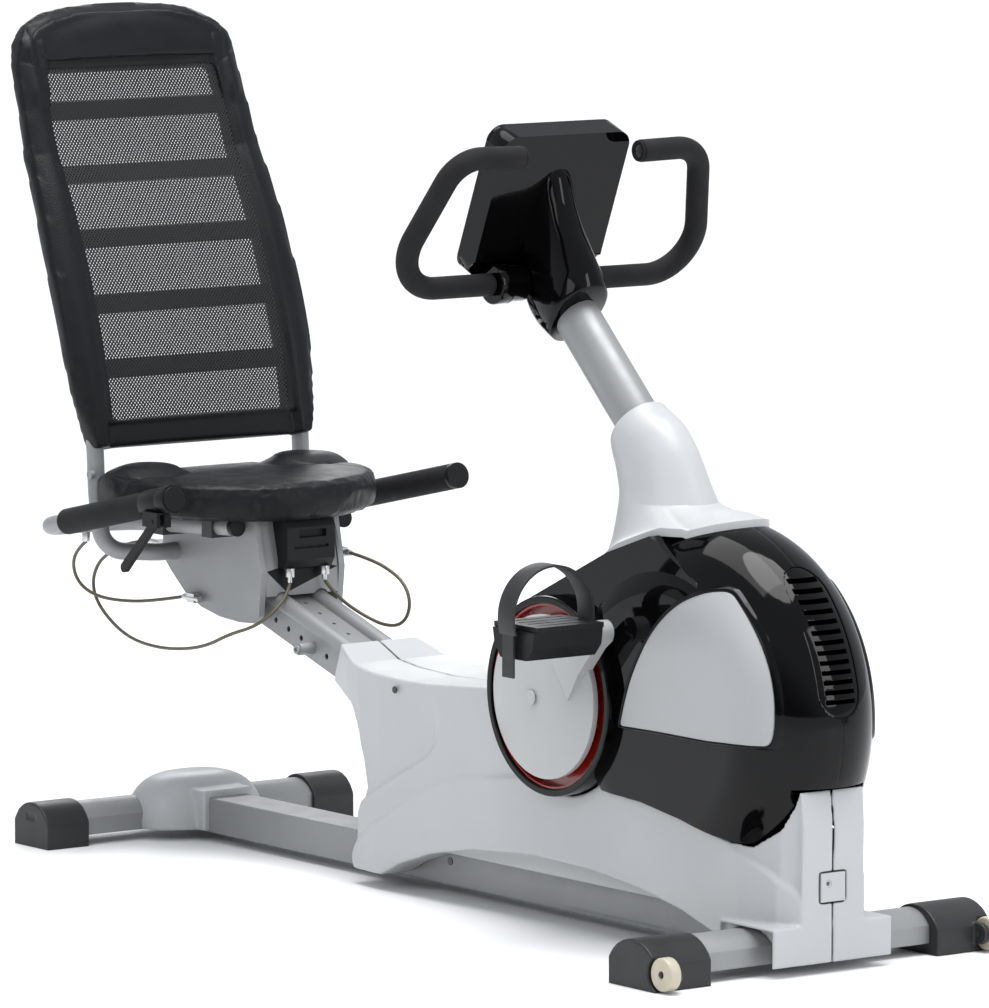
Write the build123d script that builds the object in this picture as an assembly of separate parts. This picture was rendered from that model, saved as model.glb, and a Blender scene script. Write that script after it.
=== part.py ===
from build123d import *
import math
import os

# Recumbent exercise bike.
# Millimetres. +X is the way the rider faces, +Y the rider's left, +Z up.
# The origin lies on the floor, under the middle of the whole machine.

os.makedirs("parts", exist_ok=True)

GAP = 0.4            # clearance between pieces that are not fastened to each other
RUNNING = 0.04       # radial clearance of a shaft in its bearing

# ---- driving dimensions -------------------------------------------------------------
BEAM_HALF_WIDTH = 34.0
BEAM_BOTTOM = 13.0
BEAM_TOP = 63.0
TUBE_WIDTH = 74.0            # stabiliser tubes, front to back
TUBE_BOTTOM = 15.0
TUBE_TOP = 59.0
TUBE_HALF_LENGTH = 258.0
REAR_TUBE_X = -649.0
FRONT_TUBE_X = 756.5
CAP_WALL = 6.0
REAR_CAP_END = 267.0
REAR_CAP_LENGTH = 71.0
FRONT_CAP_END = 281.0
FRONT_CAP_LENGTH = 92.0
ROLLER_X = 821.0
ROLLER_Z = 25.0
ROLLER_RADIUS = 22.0
ROLLER_WIDTH = 18.0

CRANK_X = 368.0
CRANK_Z = 320.0
CRANK_LENGTH = 170.0
CRANK_ANGLE = 36.87          # degrees above +X, right crank
DISC_RADIUS = 110.0
RING_RADIUS = 134.0
RING_FACE = 120.0
DISC_RIM = 126.0
DISC_HUB = 147.0
PEDAL_IN = 165.0
PEDAL_OUT = 278.0
PEDAL_HALF_DEPTH = 45.0
AXLE_RADIUS = 10.0

WHEEL_X = 590.0              # centre of the flywheel and of its round housing
WHEEL_Z = 320.0
HOUSING_RADIUS = 255.0
HOUSING_EDGE = 105.0         # rounding of the housing's rim, and its half width
SKIN = 4.0                   # plastic wall thickness
FLYWHEEL_RADIUS = 165.0
PLATE_IN = 34.5              # inner faces of the two frame plates
PLATE_OUT = 39.5

RAIL_ANGLE = 17.5            # the rail falls towards the front
RAIL_X = -218.0              # a point on the rail's lower edge
RAIL_Z = 272.0
RAIL_HALF_WIDTH = 45.0
RAIL_HEIGHT = 56.0
RAIL_BACK = 385.0            # length behind that point
RAIL_FRONT = 190.0           # length in front of it, inside the shell

SIDE_IN = 62.0               # carriage side plates
SIDE_OUT = 72.0
PIVOT_X = -569.0             # recline axis of the backrest
PIVOT_Z = 418.0
BACK_TUBE = 12.5
BACK_X = -626.0              # foot of the backrest panel
BACK_Z = 560.0
BACK_LEAN = 19.53            # degrees from the vertical
BACK_LENGTH = 656.0
PAD_THICK = 30.0

GRIP_Y = 242.0
LEG_Y = 92.0
HANDLE_TUBE = 12.5
GRIP_RADIUS = 18.5
LEVER_X = -349.0
LEVER_Z = 494.0
LEVER_Y = 255.0

SEAT_X = -526.0
SEAT_RADIUS = 204.0
SEAT_BOTTOM = 490.0
SEAT_TOP = 532.0

MAST_X = 397.5               # a point on the mast's axis
MAST_Z = 697.0
MAST_ANGLE = 43.4            # degrees above the horizontal, rising towards the rider
MAST_LONG = 33.0             # half sizes of the oval tube
MAST_WIDE = 29.5

BAR_X = 195.0                # centre of the handlebar's clamped run
BAR_Z = 855.0
BAR_TUBE = 11.0
BAR_GRIP = 15.4

CONSOLE_X = 140.0            # lower edge of the console's face
CONSOLE_Z = 874.0
CONSOLE_LEAN = 22.3          # degrees from the vertical, top towards the front
CONSOLE_HEIGHT = 214.0
CONSOLE_HALF = 106.0

CABLE = 5.0                  # outer diameter of the control cables

SIDES = {"right": -1, "left": 1}


# ---- helpers ------------------------------------------------------------------------
def save(shape, name):
    export_step(shape, "parts/" + name + ".step")


def profile(points, y_from, y_to):
    """A prism along Y of an outline given as (x, z) points."""
    corners = [(x, y_from, z) for x, z in points]
    face = make_face(Polyline(*corners, close=True))
    return extrude(face, amount=y_to - y_from, dir=(0, 1, 0))


def plan(points, z_from, z_to):
    """A prism along Z of an outline given as (x, y) points."""
    corners = [(x, y, z_from) for x, y in points]
    face = make_face(Polyline(*corners, close=True))
    return extrude(face, amount=z_to - z_from, dir=(0, 0, 1))


def block(x0, x1, y0, y1, z0, z1):
    """A box from its lowest to its highest corner."""
    middle = Pos((x0 + x1) / 2, (y0 + y1) / 2, (z0 + z1) / 2)
    return middle * Box(x1 - x0, y1 - y0, z1 - z0)


def round_y(x, z, radius, y_from, y_to):
    """A cylinder along Y."""
    return Pos(x, (y_from + y_to) / 2, z) * Rot(X=90) * Cylinder(radius, abs(y_to - y_from))


def ring_y(x, z, outer, inner, y_from, y_to):
    """A sleeve along Y."""
    low = min(y_from, y_to) - 1
    high = max(y_from, y_to) + 1
    return round_y(x, z, outer, y_from, y_to) - round_y(x, z, inner, low, high)


def swept(points, radii, outer, inner=0.0):
    """A round bar or tube along straight runs joined by arcs."""
    path = FilletPolyline(*points, radius=radii)
    start = Plane(origin=path @ 0, z_dir=path % 0)
    section = Circle(outer)
    if inner > 0:
        section = section - Circle(inner)
    return sweep(start * section, path)


def straight(start, end, outer, inner=0.0):
    """A straight round bar or tube between two points."""
    a = Vector(*start)
    b = Vector(*end)
    plane = Plane(origin=a, z_dir=b - a)
    bar = extrude(plane * Circle(outer), amount=(b - a).length)
    if inner > 0:
        bar = bar - extrude(plane * Circle(inner), amount=(b - a).length)
    return bar


def mirrored(shape):
    """The same piece on the other side of the machine."""
    return mirror(shape, about=Plane.XZ)


def both(shape):
    """A piece and its mirror image, as one group of separate solids."""
    return Compound(children=[shape, mirrored(shape)])


def group(shapes):
    return Compound(children=list(shapes))


def largest(shape):
    """The one real piece, without slivers that a cut leaves behind."""
    return max(shape.solids(), key=lambda solid: solid.volume)


def common(first, second):
    """What two pieces share, as one object."""
    solids = (first & second).solids()
    if len(solids) == 1:
        return solids[0]
    return Compound(children=list(solids))


def side_box(sign, reach=400.0):
    """Everything on one side of the middle plane, for splitting a cover into halves."""
    near = 0.15
    if sign < 0:
        return block(-1000, 1000, -reach, -near, -50, 1300)
    return block(-1000, 1000, near, reach, -50, 1300)


# ---- base ---------------------------------------------------------------------------
def d_section(x, width, bottom, top, y_from, y_to):
    """A bar along Y with a flat bottom, upright sides and an arched top."""
    half = width / 2
    shoulder = bottom + (top - bottom) * 0.55
    lower = Polyline((x + half, y_from, shoulder), (x + half, y_from, bottom),
                     (x - half, y_from, bottom), (x - half, y_from, shoulder))
    arch = ThreePointArc((x - half, y_from, shoulder), (x, y_from, top), (x + half, y_from, shoulder))
    face = make_face(lower + arch)
    return extrude(face, amount=y_to - y_from, dir=(0, 1, 0))


def stabiliser(x):
    wall = 2.5
    outer = d_section(x, TUBE_WIDTH, TUBE_BOTTOM, TUBE_TOP, -TUBE_HALF_LENGTH, TUBE_HALF_LENGTH)
    inner = d_section(x, TUBE_WIDTH - 2 * wall, TUBE_BOTTOM + wall, TUBE_TOP - wall,
                      -TUBE_HALF_LENGTH - 1, TUBE_HALF_LENGTH + 1)
    return outer - inner


def tube_room(x):
    """The space a stabiliser tube fills, a little oversize."""
    return d_section(x, TUBE_WIDTH + 2 * GAP, TUBE_BOTTOM - GAP, TUBE_TOP + GAP,
                     -TUBE_HALF_LENGTH - GAP, TUBE_HALF_LENGTH + GAP)


def rear_cap():
    body = d_section(REAR_TUBE_X, TUBE_WIDTH + 2 * CAP_WALL, 0.0, TUBE_TOP + CAP_WALL - 1,
                     -REAR_CAP_END, -REAR_CAP_END + REAR_CAP_LENGTH)
    body = body - tube_room(REAR_TUBE_X)
    mark = block(REAR_TUBE_X - 12, REAR_TUBE_X + 12, -REAR_CAP_END - 1, -REAR_CAP_END + 1.5, 38, 49)
    return body - mark


def front_cap():
    nose = 812.0
    tail = 713.0
    width = nose - tail
    body = d_section((nose + tail) / 2, width, 0.0, TUBE_TOP + CAP_WALL - 1,
                     -FRONT_CAP_END, -FRONT_CAP_END + FRONT_CAP_LENGTH)
    body = body - tube_room(FRONT_TUBE_X)
    body = body - round_y(ROLLER_X, ROLLER_Z, ROLLER_RADIUS + 3, -290, -259.5)
    ear = block(795, ROLLER_X, -259.5, -252, 11, 39) + round_y(ROLLER_X, ROLLER_Z, 14, -259.5, -252)
    body = body + ear
    return body - round_y(ROLLER_X, ROLLER_Z, 4, -290, -250)


def roller_pin():
    head = round_y(ROLLER_X, ROLLER_Z, 3.9, -281, -254.2)
    return head


def roller():
    start = -270 - ROLLER_WIDTH / 2
    tyre = ring_y(ROLLER_X, ROLLER_Z, ROLLER_RADIUS, 3.9 + RUNNING, start, start + ROLLER_WIDTH)
    return tyre


def base():
    beam = block(REAR_TUBE_X + TUBE_WIDTH / 2, FRONT_TUBE_X - TUBE_WIDTH / 2,
                 -BEAM_HALF_WIDTH, BEAM_HALF_WIDTH, BEAM_BOTTOM, BEAM_TOP)
    bore = block(REAR_TUBE_X, FRONT_TUBE_X, -BEAM_HALF_WIDTH + 2.5, BEAM_HALF_WIDTH - 2.5,
                 BEAM_BOTTOM + 2.5, BEAM_TOP - 2.5)
    beam = beam - bore
    save(beam, "main_beam")
    save(group([stabiliser(REAR_TUBE_X), stabiliser(FRONT_TUBE_X)]), "stabiliser_tubes")
    caps = [rear_cap(), front_cap(), roller_pin()]
    save(group(caps + [mirrored(piece) for piece in caps]), "foot_caps")
    save(roller(), "transport_wheel_right")
    save(mirrored(roller()), "transport_wheel_left")


def tail_cover():
    """White saddle over the joint of the beam and the rear stabiliser."""
    outline = [(-700, 15), (-700, 50), (-686, 74), (-655, 88), (-610, 92), (-560, 90), (-548, 80), (-548, 15)]
    outer = profile(outline, -110, 110) & plan([(-700, -104), (-612, -92), (-548, -42),
                                                (-548, 42), (-612, 92), (-700, 104)], 0, 120)
    inner_line = [(-696, 0), (-696, 49), (-683, 71), (-654, 84), (-610, 88), (-562, 86),
                  (-552, 78), (-540, 78), (-540, 0)]
    inner = profile(inner_line, -110, 110) & plan([(-696, -99), (-613, -88), (-552, -38), (-530, -38),
                                                   (-530, 38), (-552, 38), (-613, 88), (-696, 99)], -5, 120)
    cover = outer - inner - tube_room(REAR_TUBE_X)
    beam_room = block(-640, -500, -BEAM_HALF_WIDTH - GAP, BEAM_HALF_WIDTH + GAP, 0, BEAM_TOP + GAP)
    return cover - beam_room


# ---- steel frame inside the covers ---------------------------------------------------
def frame_plate():
    """One of two welded plates that carry the crank, the flywheel and the mast."""
    outline = [(300, 22), (660, 22), (640, 150), (632, 290), (628, 350), (560, 400), (548, 530),
               (500, 612), (440, 628), (428, 590), (440, 430), (400, 372), (335, 360),
               (325, 290), (345, 180)]
    plate = profile(outline, -PLATE_OUT, -PLATE_IN)
    window = profile([(440, 90), (560, 90), (545, 260), (450, 260)], -60, 0)
    plate = plate - window
    plate = plate - round_y(CRANK_X, CRANK_Z, 22 + 0.05, -60, 0)
    return plate - round_y(WHEEL_X, WHEEL_Z, 17.0, -60, 0)


def mast_axis(distance):
    """A point on the mast's axis, measured up the mast from its named point."""
    angle = math.radians(MAST_ANGLE)
    return (MAST_X - distance * math.cos(angle), 0, MAST_Z + distance * math.sin(angle))


def mast_plane(distance):
    a = math.radians(MAST_ANGLE)
    return Plane(origin=mast_axis(distance), x_dir=(0, 1, 0), z_dir=(-math.cos(a), 0, math.sin(a)))


def oval_bar(start, end, long_half, wide_half):
    face = mast_plane(start) * Ellipse(wide_half, long_half)
    a = math.radians(MAST_ANGLE)
    return extrude(face, amount=end - start, dir=(-math.cos(a), 0, math.sin(a)))


MAST_START = -150.0
MAST_END = 185.0


def mast_tube():
    """Oval tube with a welded head that carries the handlebar."""
    tube = oval_bar(MAST_START, MAST_END, MAST_LONG, MAST_WIDE)
    tube = tube - oval_bar(MAST_START - 1, MAST_END - 4, MAST_LONG - 2.5, MAST_WIDE - 2.5)
    head = profile([(252, 830), (276, 818), (282, 836), (205, 872), (185, 852)], -12, 12)
    sleeve = round_y(BAR_X, BAR_Z, 17, -60, 60)
    return tube + head + sleeve - round_y(BAR_X, BAR_Z, BAR_TUBE + 0.05, -70, 70)


def drive():
    """Frame plates, crank bearings, flywheel, belt and brake."""
    shell = ring_y(CRANK_X, CRANK_Z, 22, 17, -PLATE_OUT, PLATE_OUT)
    pin = round_y(BRAKE_X, BRAKE_Z, 5, -PLATE_IN, PLATE_IN)
    save(group([frame_plate(), mirrored(frame_plate()), shell, pin, rail_post()]), "inner_frame")
    crank_bearing = ring_y(CRANK_X, CRANK_Z, 17, AXLE_RADIUS + RUNNING, -PLATE_OUT, -PLATE_OUT + 14)
    wheel_bearing = ring_y(WHEEL_X, WHEEL_Z, 17, 8 + RUNNING, -PLATE_OUT, -PLATE_IN)
    races = [crank_bearing, wheel_bearing]
    save(group(races + [mirrored(race) for race in races]), "bearings")

    rim = ring_y(WHEEL_X, WHEEL_Z, FLYWHEEL_RADIUS, 120, -13, 13)
    web = round_y(WHEEL_X, WHEEL_Z, 121, -5, 5)
    hub = round_y(WHEEL_X, WHEEL_Z, 24, -14, 14)
    shaft = round_y(WHEEL_X, WHEEL_Z, 8, -PLATE_OUT - 4, 66)
    small = round_y(WHEEL_X, WHEEL_Z, 24, 44, 62)
    save(rim + web + hub + shaft + small, "flywheel")

    axle = round_y(CRANK_X, CRANK_Z, AXLE_RADIUS, -DISC_HUB + 6, DISC_HUB - 6)
    pulley = ring_y(CRANK_X, CRANK_Z, 100, AXLE_RADIUS, 44, 62)
    for i in range(6):
        t = math.radians(30 + 60 * i)
        pulley = pulley - round_y(CRANK_X + 58 * math.cos(t), CRANK_Z + 58 * math.sin(t), 20, 30, 70)
    save(group([axle, pulley]), "crank_axle")

    save(belt(), "drive_belt")
    save(brake_arm(), "brake_magnet_arm")
    motor = block(646, 690, -30, -6, 66, 112) + round_y(668, 96, 9, -6, 4)
    save(motor, "brake_servo_motor")


def board():
    """Drive electronics inside the shell."""
    card = block(480, 580, -74, -71, 90, 170)
    chip = block(505, 530, -80, -74, 110, 135)
    terminal = block(545, 572, -82, -74, 95, 110)
    return card + chip + terminal


BELT_BIG = 100.6
BELT_SMALL = 24.6
BELT_THICK = 3.0


def belt_loop(big, small, y_from, y_to):
    """The solid inside a belt round the crank pulley and the flywheel pulley."""
    length = WHEEL_X - CRANK_X
    lean = math.asin((big - small) / length)
    up = (math.sin(lean), math.cos(lean))
    top_a = (CRANK_X + big * up[0], CRANK_Z + big * up[1])
    top_b = (WHEEL_X + small * up[0], WHEEL_Z + small * up[1])
    low_b = (top_b[0], 2 * WHEEL_Z - top_b[1])
    low_a = (top_a[0], 2 * CRANK_Z - top_a[1])
    quad = profile([top_a, top_b, low_b, low_a], y_from, y_to)
    return quad + round_y(CRANK_X, CRANK_Z, big, y_from, y_to) + round_y(WHEEL_X, WHEEL_Z, small, y_from, y_to)


def belt():
    outer = belt_loop(BELT_BIG + BELT_THICK, BELT_SMALL + BELT_THICK, 45, 61)
    return outer - belt_loop(BELT_BIG, BELT_SMALL, 40, 66)


BRAKE_X = 610.0
BRAKE_Z = 130.0


def brake_arm():
    """Forked arm with magnets that closes over the flywheel's rim."""
    cheek = profile([(BRAKE_X - 14, BRAKE_Z - 12), (BRAKE_X + 14, BRAKE_Z - 12), (700, 150),
                     (742, 205), (722, 222), (650, 178), (BRAKE_X - 14, BRAKE_Z + 12)], -24, -17)
    arm = cheek + mirrored(cheek)
    bridge = profile([(700, 150), (742, 205), (752, 198), (708, 142)], -24, 24)
    sleeve = ring_y(BRAKE_X, BRAKE_Z, 12, 5 + RUNNING, -24, 24)
    arm = arm + bridge + sleeve
    return arm - round_y(BRAKE_X, BRAKE_Z, 5 + RUNNING, -60, 60)


# ---- white body covers ---------------------------------------------------------------
WHITE_LINE = [(-208, 271), (-190, 300), (-175, 327), (-127, 306), (-80, 300), (0, 297), (60, 299),
              (140, 305), (215, 310.8), (300, 310.8), (368, 300), (425, 250), (466, 204), (553, 199),
              (640, 186), (726, 167), (757, 164), (800, 190), (822, 243), (828, 190), (826, 120),
              (827, 14), (735, 14), (707, 38), (623, 63), (533, 80), (426, 91), (297, 94), (165, 84),
              (65, 66), (-10, 42), (-51, 22), (-120, 22), (-127, 39), (-114, 61), (-113, 102),
              (-96, 137), (-106, 177), (-123, 216), (-145, 248)]
MOUTH_LINE = [(224, 300), (300, 300), (362, 291), (418, 242), (463, 194), (553, 189), (640, 176), (726, 157),
              (759, 154), (807, 186), (818, 232), (823, 262), (560, 340), (224, 340)]
WHITE_PLAN = [(-208, 60), (-150, 78), (-112, 87), (-60, 91), (740, 91), (800, 74), (828, 50)]


def symmetric_plan(points):
    return points + [(x, -y) for x, y in reversed(points)]


def shrunk(points, by):
    """The outline moved inwards by a wall thickness, as a face on the XY plane."""
    face = make_face(Polyline(*[(x, y, 0) for x, y in points], close=True))
    return offset(face, amount=-by, kind=Kind.INTERSECTION)


def along_y(face, reach):
    """Stand a face drawn in XY upright, as X and Z, and extrude it both ways along Y."""
    upright = Rot(X=90) * face
    return extrude(upright, amount=reach, both=True)


def white_shell(sign):
    outer = profile(WHITE_LINE, -120, 120) & plan(symmetric_plan(WHITE_PLAN), 0, 400)
    inner = along_y(shrunk(WHITE_LINE, SKIN), 120)
    inner_plan = [(x, y - SKIN) for x, y in WHITE_PLAN]
    inner_plan[-1] = (824, 47)
    inner = inner & plan(symmetric_plan(inner_plan), 0, 400)
    shell = outer - inner
    shell = shell - common(profile(MOUTH_LINE, -120, 120), plan(symmetric_plan(inner_plan), 0, 400))
    skirt_line = [(-20, 63.6), (65, 66), (165, 84), (297, 94), (426, 91), (533, 80), (623, 63.6)]
    skirt = profile(skirt_line, -60, 60) - profile(skirt_line, -57, 57)
    foot = block(712, 827, -99, 99, 14, 66) - block(716, 823, -95, 95, 0, 62)
    foot = foot - block(716, 823, -99.5, 99.5, 0, 62)
    shell = shell + skirt + foot
    shell = shell - tube_room(FRONT_TUBE_X)
    shell = shell - block(-700, 760, -BEAM_HALF_WIDTH - GAP, BEAM_HALF_WIDTH + GAP, 0, BEAM_TOP + GAP)
    shell = shell - block(290, 670, -PLATE_OUT - GAP, PLATE_OUT + GAP, 0, 100)
    shell = shell - rail_room()
    shell = shell - round_y(CRANK_X, CRANK_Z, RING_RADIUS + GAP, -150, 150)
    shell = shell - block(810, 840, -22, 22, 92, 134)
    return common(shell, side_box(sign))


# ---- black flywheel housing ----------------------------------------------------------
BLACK_LINE = [(200, 311.2), (200, 480), (380, 600), (900, 600), (900, 243.5), (821.5, 243.5),
              (800, 190.8), (757, 164.8), (726, 167.8), (640, 186.8), (553, 199.8), (466.3, 204.6),
              (425.3, 250.6), (368.3, 300.6), (300, 311.2)]


def edge_rounded(radius, half, edge):
    """A disc along Y whose rim is a full round."""
    flat = radius - edge
    x = WHEEL_X
    z = WHEEL_Z
    lines = Polyline((x, half, z), (x, -half, z), (x + flat, -half, z))
    arc = ThreePointArc((x + flat, -half, z), (x + radius, 0, z), (x + flat, half, z))
    close = Line((x + flat, half, z), (x, half, z))
    face = make_face(lines + arc + close)
    return revolve(face, axis=Axis((x, 0, z), (0, 1, 0)), revolution_arc=360)


LINK_LINE = [(216, 300), (222, 362), (236, 400), (258, 424), (470, 522), (560, 552), (660, 500), (700, 400),
             (700, 200), (466, 180), (368, 176), (260, 200)]


def black_shell(sign):
    bulk = edge_rounded(HOUSING_RADIUS, HOUSING_EDGE, HOUSING_EDGE) + profile(LINK_LINE, -98, 98)
    inside = HOUSING_EDGE - SKIN
    hollow = edge_rounded(HOUSING_RADIUS - SKIN, inside, inside) + along_y(shrunk(LINK_LINE, SKIN), 94)
    shell = common(bulk - hollow, profile(BLACK_LINE, -130, 130))
    shell = shell - round_y(CRANK_X, CRANK_Z, RING_RADIUS + GAP, -150, 150)
    socket = oval_bar(MAST_START - 5, MAST_END, 46, 42)
    shell = shell - socket
    shell = shell - profile([(410, 500), (560, 500), (560, 680), (410, 680)], -PLATE_OUT - 2, PLATE_OUT + 2)
    shell = shell - vent_room(GAP)
    shell = shell - block(810, 900, -60, 60, 200, 243.5)
    return common(shell, side_box(sign))


def vent_room(extra):
    """The upright slot in the housing's nose that holds the vent grille."""
    face = SlotOverall(186 + 2 * extra, 66 + 2 * extra, rotation=90)
    plane = Plane(origin=(700, 0, 430), x_dir=(0, 1, 0), z_dir=(1, 0, 0))
    return extrude(plane * face, amount=170)


def vent_grille():
    skin = edge_rounded(HOUSING_RADIUS - 1, HOUSING_EDGE - 1, HOUSING_EDGE - 1)
    skin = skin - edge_rounded(HOUSING_RADIUS - 6, HOUSING_EDGE - 6, HOUSING_EDGE - 6)
    grille = common(common(skin, vent_room(0.0)), block(WHEEL_X, 900, -60, 60, 300, 560))
    for i in range(13):
        z = 354 + i * 12.5
        grille = grille - block(700, 900, -24, 24, z, z + 6)
    return grille


def crank_ring(sign):
    """Glossy ring round the crank disc."""
    ring = ring_y(CRANK_X, CRANK_Z, RING_RADIUS, 124, -RING_FACE, -84)
    return ring if sign < 0 else mirrored(ring)


def crank_dish(sign):
    """Red dish behind the crank disc."""
    dish = ring_y(CRANK_X, CRANK_Z, 124, 26, -104, -100)
    wall = ring_y(CRANK_X, CRANK_Z, 124, 121, -116, -103)
    dish = dish + wall
    return dish if sign < 0 else mirrored(dish)


def inset_panel(sign):
    """Light grey panel let into the housing's flank."""
    outline = [(514, 299), (530, 355), (560, 410), (610, 455), (680, 486), (719, 493)]
    right = [(760, 452), (794, 400), (806, 350), (800, 302), (700, 294)]
    flank = edge_rounded(HOUSING_RADIUS + 2.5, HOUSING_EDGE + 2.5, HOUSING_EDGE + 2.5)
    flank = flank - edge_rounded(HOUSING_RADIUS + 0.3, HOUSING_EDGE + 0.3, HOUSING_EDGE + 0.3)
    panel = common(flank, profile(outline + right, -130, -40))
    return panel if sign < 0 else mirrored(panel)


# ---- mast, its cover and the neck ----------------------------------------------------
COVER_SECTIONS = [(514, 492, 132, 84), (545, 492, 104, 70), (560, 485, 87, 60), (600, 473, 78, 54),
                  (640, 456, 70, 49), (680, 441, 66, 46), (716, 428, 66, 45)]


def cone(sections, less):
    """A loft of ovals stacked along Z: height, centre X, half length, half width."""
    faces = [Plane(origin=(x, 0, z)) * Ellipse(a - less, b - less) for z, x, a, b in sections]
    return loft(faces, ruled=True)


def mast_cover(sign):
    outer = cone(COVER_SECTIONS, 0)
    low = COVER_SECTIONS[0]
    high = COVER_SECTIONS[-1]
    deeper = [(low[0] - 4,) + low[1:]] + COVER_SECTIONS[1:-1] + [(high[0] + 4,) + high[1:]]
    cover = outer - cone(deeper, 3.0)
    top = Plane(origin=mast_axis(14), x_dir=(0, 1, 0),
                z_dir=(-math.cos(math.radians(MAST_ANGLE)), 0, math.sin(math.radians(MAST_ANGLE))))
    cover = cover - extrude(top * Rectangle(300, 400), amount=200)
    cap = cone(COVER_SECTIONS, 0) - extrude(top * Rectangle(300, 400), amount=200)
    lid_plane = Plane(origin=mast_axis(10), x_dir=top.x_dir, z_dir=top.z_dir)
    cap = common(cap, extrude(lid_plane * Rectangle(300, 400), amount=4))
    cover = cover + cap
    cover = cover - oval_bar(MAST_START, MAST_END, MAST_LONG + GAP, MAST_WIDE + GAP)
    cover = cover - edge_rounded(HOUSING_RADIUS + GAP, HOUSING_EDGE + GAP, HOUSING_EDGE + GAP)
    cover = cover - profile(LINK_LINE, -98 - GAP, 98 + GAP)
    cover = cover - profile([(426, 500), (550, 500), (549, 531), (502, 614), (440, 630), (426, 600)],
                            -PLATE_OUT - 1, PLATE_OUT + 1)
    return largest(common(cover, side_box(sign)))


NECK_LINE = [(246, 770), (300, 812), (318, 842), (300, 880), (275, 925), (254, 970), (240, 1008),
             (222, 1008), (196, 985), (188, 940), (176, 900), (170, 862), (178, 832), (214, 806)]


def neck_cover():
    """Glossy neck from the mast's top to the back of the console."""
    stem = profile(NECK_LINE, -34, 34)
    stem = stem - along_y(shrunk(NECK_LINE, 3.0), 31)
    collar = oval_bar(MAST_END - 44, MAST_END - 4, MAST_LONG + 13, MAST_WIDE + 12)
    neck = stem + collar
    neck = neck - oval_bar(MAST_START, MAST_END + 10, MAST_LONG + GAP, MAST_WIDE + GAP)
    neck = neck - round_y(BAR_X, BAR_Z, 30 + GAP, -90, 90)
    return neck - console_room()


def clamp_shell():
    """Round clamp cover at one side of the neck."""
    body = ring_y(BAR_X, BAR_Z, 27, BAR_TUBE + GAP, -84, -62)
    return body + ring_y(BAR_X, BAR_Z, 25, 17 + GAP, -62.5, -34.5)


BAR_ENDS_Y = 100.0
LOOP_LOW_Y = 262.0
LOOP_TOP = (281.0, 202.0, 1034.0)


def bar_points():
    """Centre line of one side's loop, from the clamp outwards, up and back in."""
    x, y, z = LOOP_TOP
    return [(BAR_X, -8, BAR_Z), (BAR_X, -LOOP_LOW_Y, BAR_Z), (x, -y, z), (x + 1, -BAR_ENDS_Y, z - 2)]


LOOP_RADII = [62.0, 50.0]


def handlebar():
    side = swept(bar_points(), LOOP_RADII, BAR_TUBE, BAR_TUBE - 2)
    link = ring_y(BAR_X, BAR_Z, BAR_TUBE, BAR_TUBE - 2, -9, 9)
    tube = side + mirrored(side) + link
    save(tube, "handlebar_tube")
    points = bar_points()
    points[0] = (BAR_X, -85.5, BAR_Z)
    grip = swept(points, LOOP_RADII, BAR_GRIP, BAR_TUBE)
    end = Vector(*points[-1])
    ahead = (end - Vector(*points[-2])).normalized()
    first = end + ahead * 0.2
    last = end + ahead * 3.6
    plug = straight((first.X, first.Y, first.Z), (last.X, last.Y, last.Z), 14.6, 8.0)
    save(group([grip, mirrored(grip), plug, mirrored(plug)]), "handlebar_grips")


def tilted(x_along, y, z_out):
    """A console point: distance up its face, sideways, and out towards the front."""
    lean = math.radians(CONSOLE_LEAN)
    return (CONSOLE_X + x_along * math.sin(lean) + z_out * math.cos(lean), y,
            CONSOLE_Z + x_along * math.cos(lean) - z_out * math.sin(lean))


def console_plane(out, up=0.0):
    """Plane across the console's face; local x is +Y, local y is up the face."""
    lean = math.radians(CONSOLE_LEAN)
    return Plane(origin=tilted(up, 0, out), x_dir=(0, 1, 0), z_dir=(-math.cos(lean), 0, math.sin(lean)))


def console_prism(half, low, high, out_from, out_to, corner):
    """A rounded slab of the console between two depths behind its face."""
    middle = (low + high) / 2
    face = console_plane(out_to, middle) * RectangleRounded(2 * half, high - low, corner)
    return extrude(face, amount=out_to - out_from)


def console_room():
    return console_prism(CONSOLE_HALF + 1, -1, CONSOLE_HEIGHT + 1, -20, 40.6, 22)


def console():
    shell = console_prism(CONSOLE_HALF, 0, CONSOLE_HEIGHT, 6, 40, 22)
    shell = shell - console_prism(CONSOLE_HALF - 3, 3, CONSOLE_HEIGHT - 3, 5, 37, 19)
    shell = shell - round_y(BAR_X, BAR_Z, 31, -130, 130)
    save(shell, "console_back")
    bezel = console_prism(CONSOLE_HALF, 0, CONSOLE_HEIGHT, 0, 5.9, 22)
    bezel = bezel - console_prism(74, 92, 184, -1, 7, 4)
    for i, along in enumerate(KEY_PLACES):
        bezel = bezel - key_body(along, 0.6, -4, 8)
    save(bezel, "console_bezel")
    save(console_prism(73.7, 92.3, 183.7, 1.5, 4.5, 3.8), "console_window")
    save(group([console_prism(80, 30, 190, 8, 10, 6), board()]), "circuit_boards")
    for name, y in KEYS.items():
        save(key_body(y, 0.0, -1.5, 5.4), name)


KEYS = {"key_left": 34.0, "key_right": -34.0}
KEY_PLACES = list(KEYS.values())


def key_body(y, extra, out_from, out_to):
    face = console_plane(out_to, 52) * Pos(y, 0) * SlotOverall(32 + 2 * extra, 16 + 2 * extra)
    return extrude(face, amount=out_to - out_from)


# ---- seat rail -----------------------------------------------------------------------
def rail_plane(along):
    """A plane across the rail; local x is +Y, local y is square to the rail, pointing up."""
    a = math.radians(RAIL_ANGLE)
    origin = (RAIL_X + along * math.cos(a), 0, RAIL_Z - along * math.sin(a))
    return Plane(origin=origin, x_dir=(0, 1, 0), z_dir=(math.cos(a), 0, -math.sin(a)))


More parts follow.
